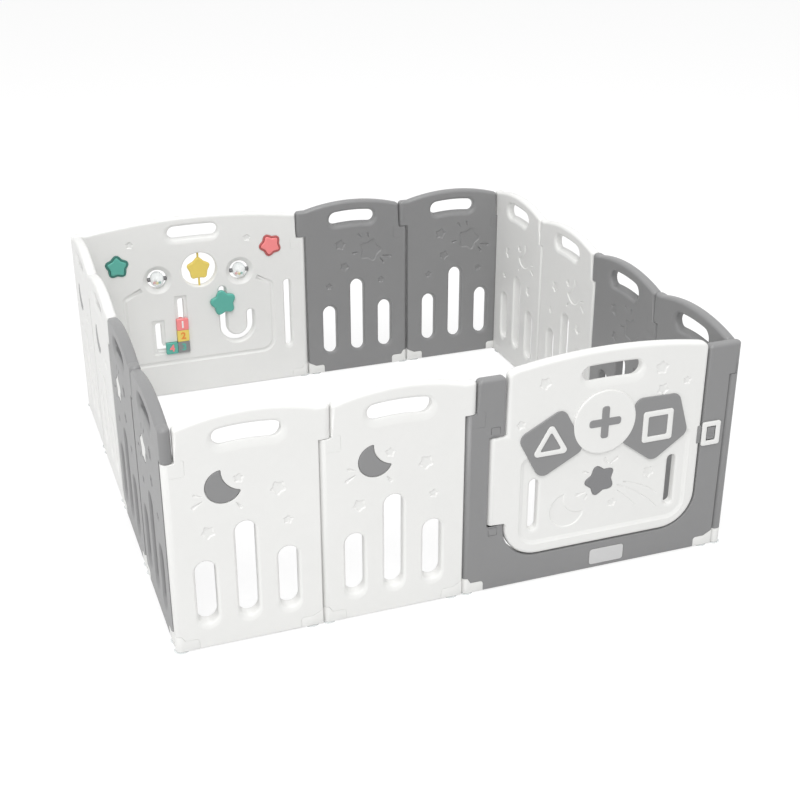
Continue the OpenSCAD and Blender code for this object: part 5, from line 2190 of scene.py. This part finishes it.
@dataclass(frozen=True)
class Studio:
    """Floor, light and camera.

    Attributes:
        sizes: the ring's shared sizes.
        eye: the camera's place, in pitches from the middle of the pen's lower edge.
        yaw: how far the camera turns to the right, in degrees.
        pitch: how far it looks up, in degrees.
        lens: its focal length, in millimetres.
        floor_dim: lightness of the floor for the light that falls on it.
        floor_seen: lightness of the floor that is seen.
        glow: strength of the white in the floor that is seen.
        glow_share: share of that white.
        sky: strength of the world's light.
    """

    # Name, place and side in metres, and power in watts of each square soft lamp.
    LAMPS = (
        ("key", (-3.6, -9.4, 11.9), 7.0, 940), ("top", (0.0, -0.6, 6.5), 3.0, 125),
        ("side", (-5.6, -2.2, 1.4), 2.6, 52),
    )

    sizes: RingSizes
    eye: Triple = (-3.070, -9.048, 5.052)
    yaw: float = 20.14
    pitch: float = -25.03
    lens: float = 58.48
    floor_dim: float = 0.68
    floor_seen: float = 0.88
    glow: float = 1.14
    glow_share: float = 0.60
    sky: float = 0.65

    @staticmethod
    def _seen(maker: MaterialMaker) -> Socket:
        """1 for what the camera, a gloss or a clear piece shows, and 0 for light that falls."""
        names = ("Is Camera Ray", "Is Glossy Ray", "Is Transmission Ray")
        camera, gloss, clear = (maker.node("ShaderNodeLightPath", output=name) for name in names)
        settings = {"operation": "ADD", "use_clamp": True}
        return maker.node("ShaderNodeMath", settings, {0: camera, 1: gloss + clear})

    def floor(self) -> None:
        """Lay a plain pale floor that shows white to the camera and keeps the shadow."""
        bm = bmesh.new()
        bmesh.ops.create_grid(bm, x_segments=1, y_segments=1, size=30.0)
        mesh = bpy.data.meshes.new("floor")
        bm.to_mesh(mesh)
        bm.free()
        maker = MaterialMaker("floor")
        seen = self._seen(maker)
        cloth = maker.mix(seen, (self.floor_dim,) * 3, (self.floor_seen,) * 3)
        matt = {"Base Color": cloth, "Roughness": 0.9}
        soft = maker.node("ShaderNodeBsdfPrincipled", inputs=matt)
        white = {"Color": (1, 1, 1, 1), "Strength": self.glow}
        share = seen * (self.glow_share + 0.02 * maker.noise(40.0, 2.0))
        glow = maker.node("ShaderNodeEmission", inputs=white)
        blend = maker.node("ShaderNodeMixShader", inputs={0: share, 1: soft, 2: glow})
        mesh.materials.append(maker.finish(blend))
        hung("floor", mesh)

    def light(self) -> None:
        """Light the pen evenly from the sky, with a wide soft key high in front."""
        world = bpy.data.worlds.new("world")
        bpy.context.scene.world = world
        world.use_nodes = True
        maker = MaterialMaker.on_tree(world.node_tree)
        dim, full = (
            maker.node("ShaderNodeBackground", inputs={"Color": (1, 1, 1, 1), "Strength": strength})
            for strength in (self.sky, 1.0)
        )
        blend = maker.node("ShaderNodeMixShader", inputs={0: self._seen(maker), 1: dim, 2: full})
        maker.node("ShaderNodeOutputWorld", inputs={"Surface": blend})
        for name, at, size, power in self.LAMPS:
            light = bpy.data.lights.new(name, "AREA")
            light.size = size
            light.energy = power
            lamp = hung(name, light)
            lamp.location = at
            aim = Vector((0, 0, 0.3)) - Vector(at)
            lamp.rotation_euler = aim.to_track_quat("-Z", "Y").to_euler()

    def camera(self) -> None:
        """Set up the camera, above the front and a little to the left."""
        data = bpy.data.cameras.new("camera")
        data.sensor_width = 36.0
        data.lens = self.lens
        camera = hung("camera", data)
        place = Vector(self.eye) * self.sizes.pitch + Vector((0, 0, self.sizes.lift))
        camera.location = place * MM
        camera.rotation_euler = (math.radians(90 + self.pitch), 0, math.radians(-self.yaw))
        bpy.context.scene.camera = camera

    def build(self) -> None:
        """Set up the studio."""
        bpy.context.scene.view_settings.view_transform = "Standard"
        self.floor()
        self.light()
        self.camera()


def main() -> None:
    """Build the studio and every sub-assembly in order."""
    logging.basicConfig(level=logging.INFO, format="%(name)s: %(message)s")
    sizes = RingSizes.from_frame()
    shop = Shop(sizes, Palette())
    feet = Feet(shop)
    Studio(sizes).build()
    FenceRing(shop, feet).build()
    Gate(shop, feet).build()
    ActivityPanel(shop, feet).build()


if __name__ == "__main__":
    main()
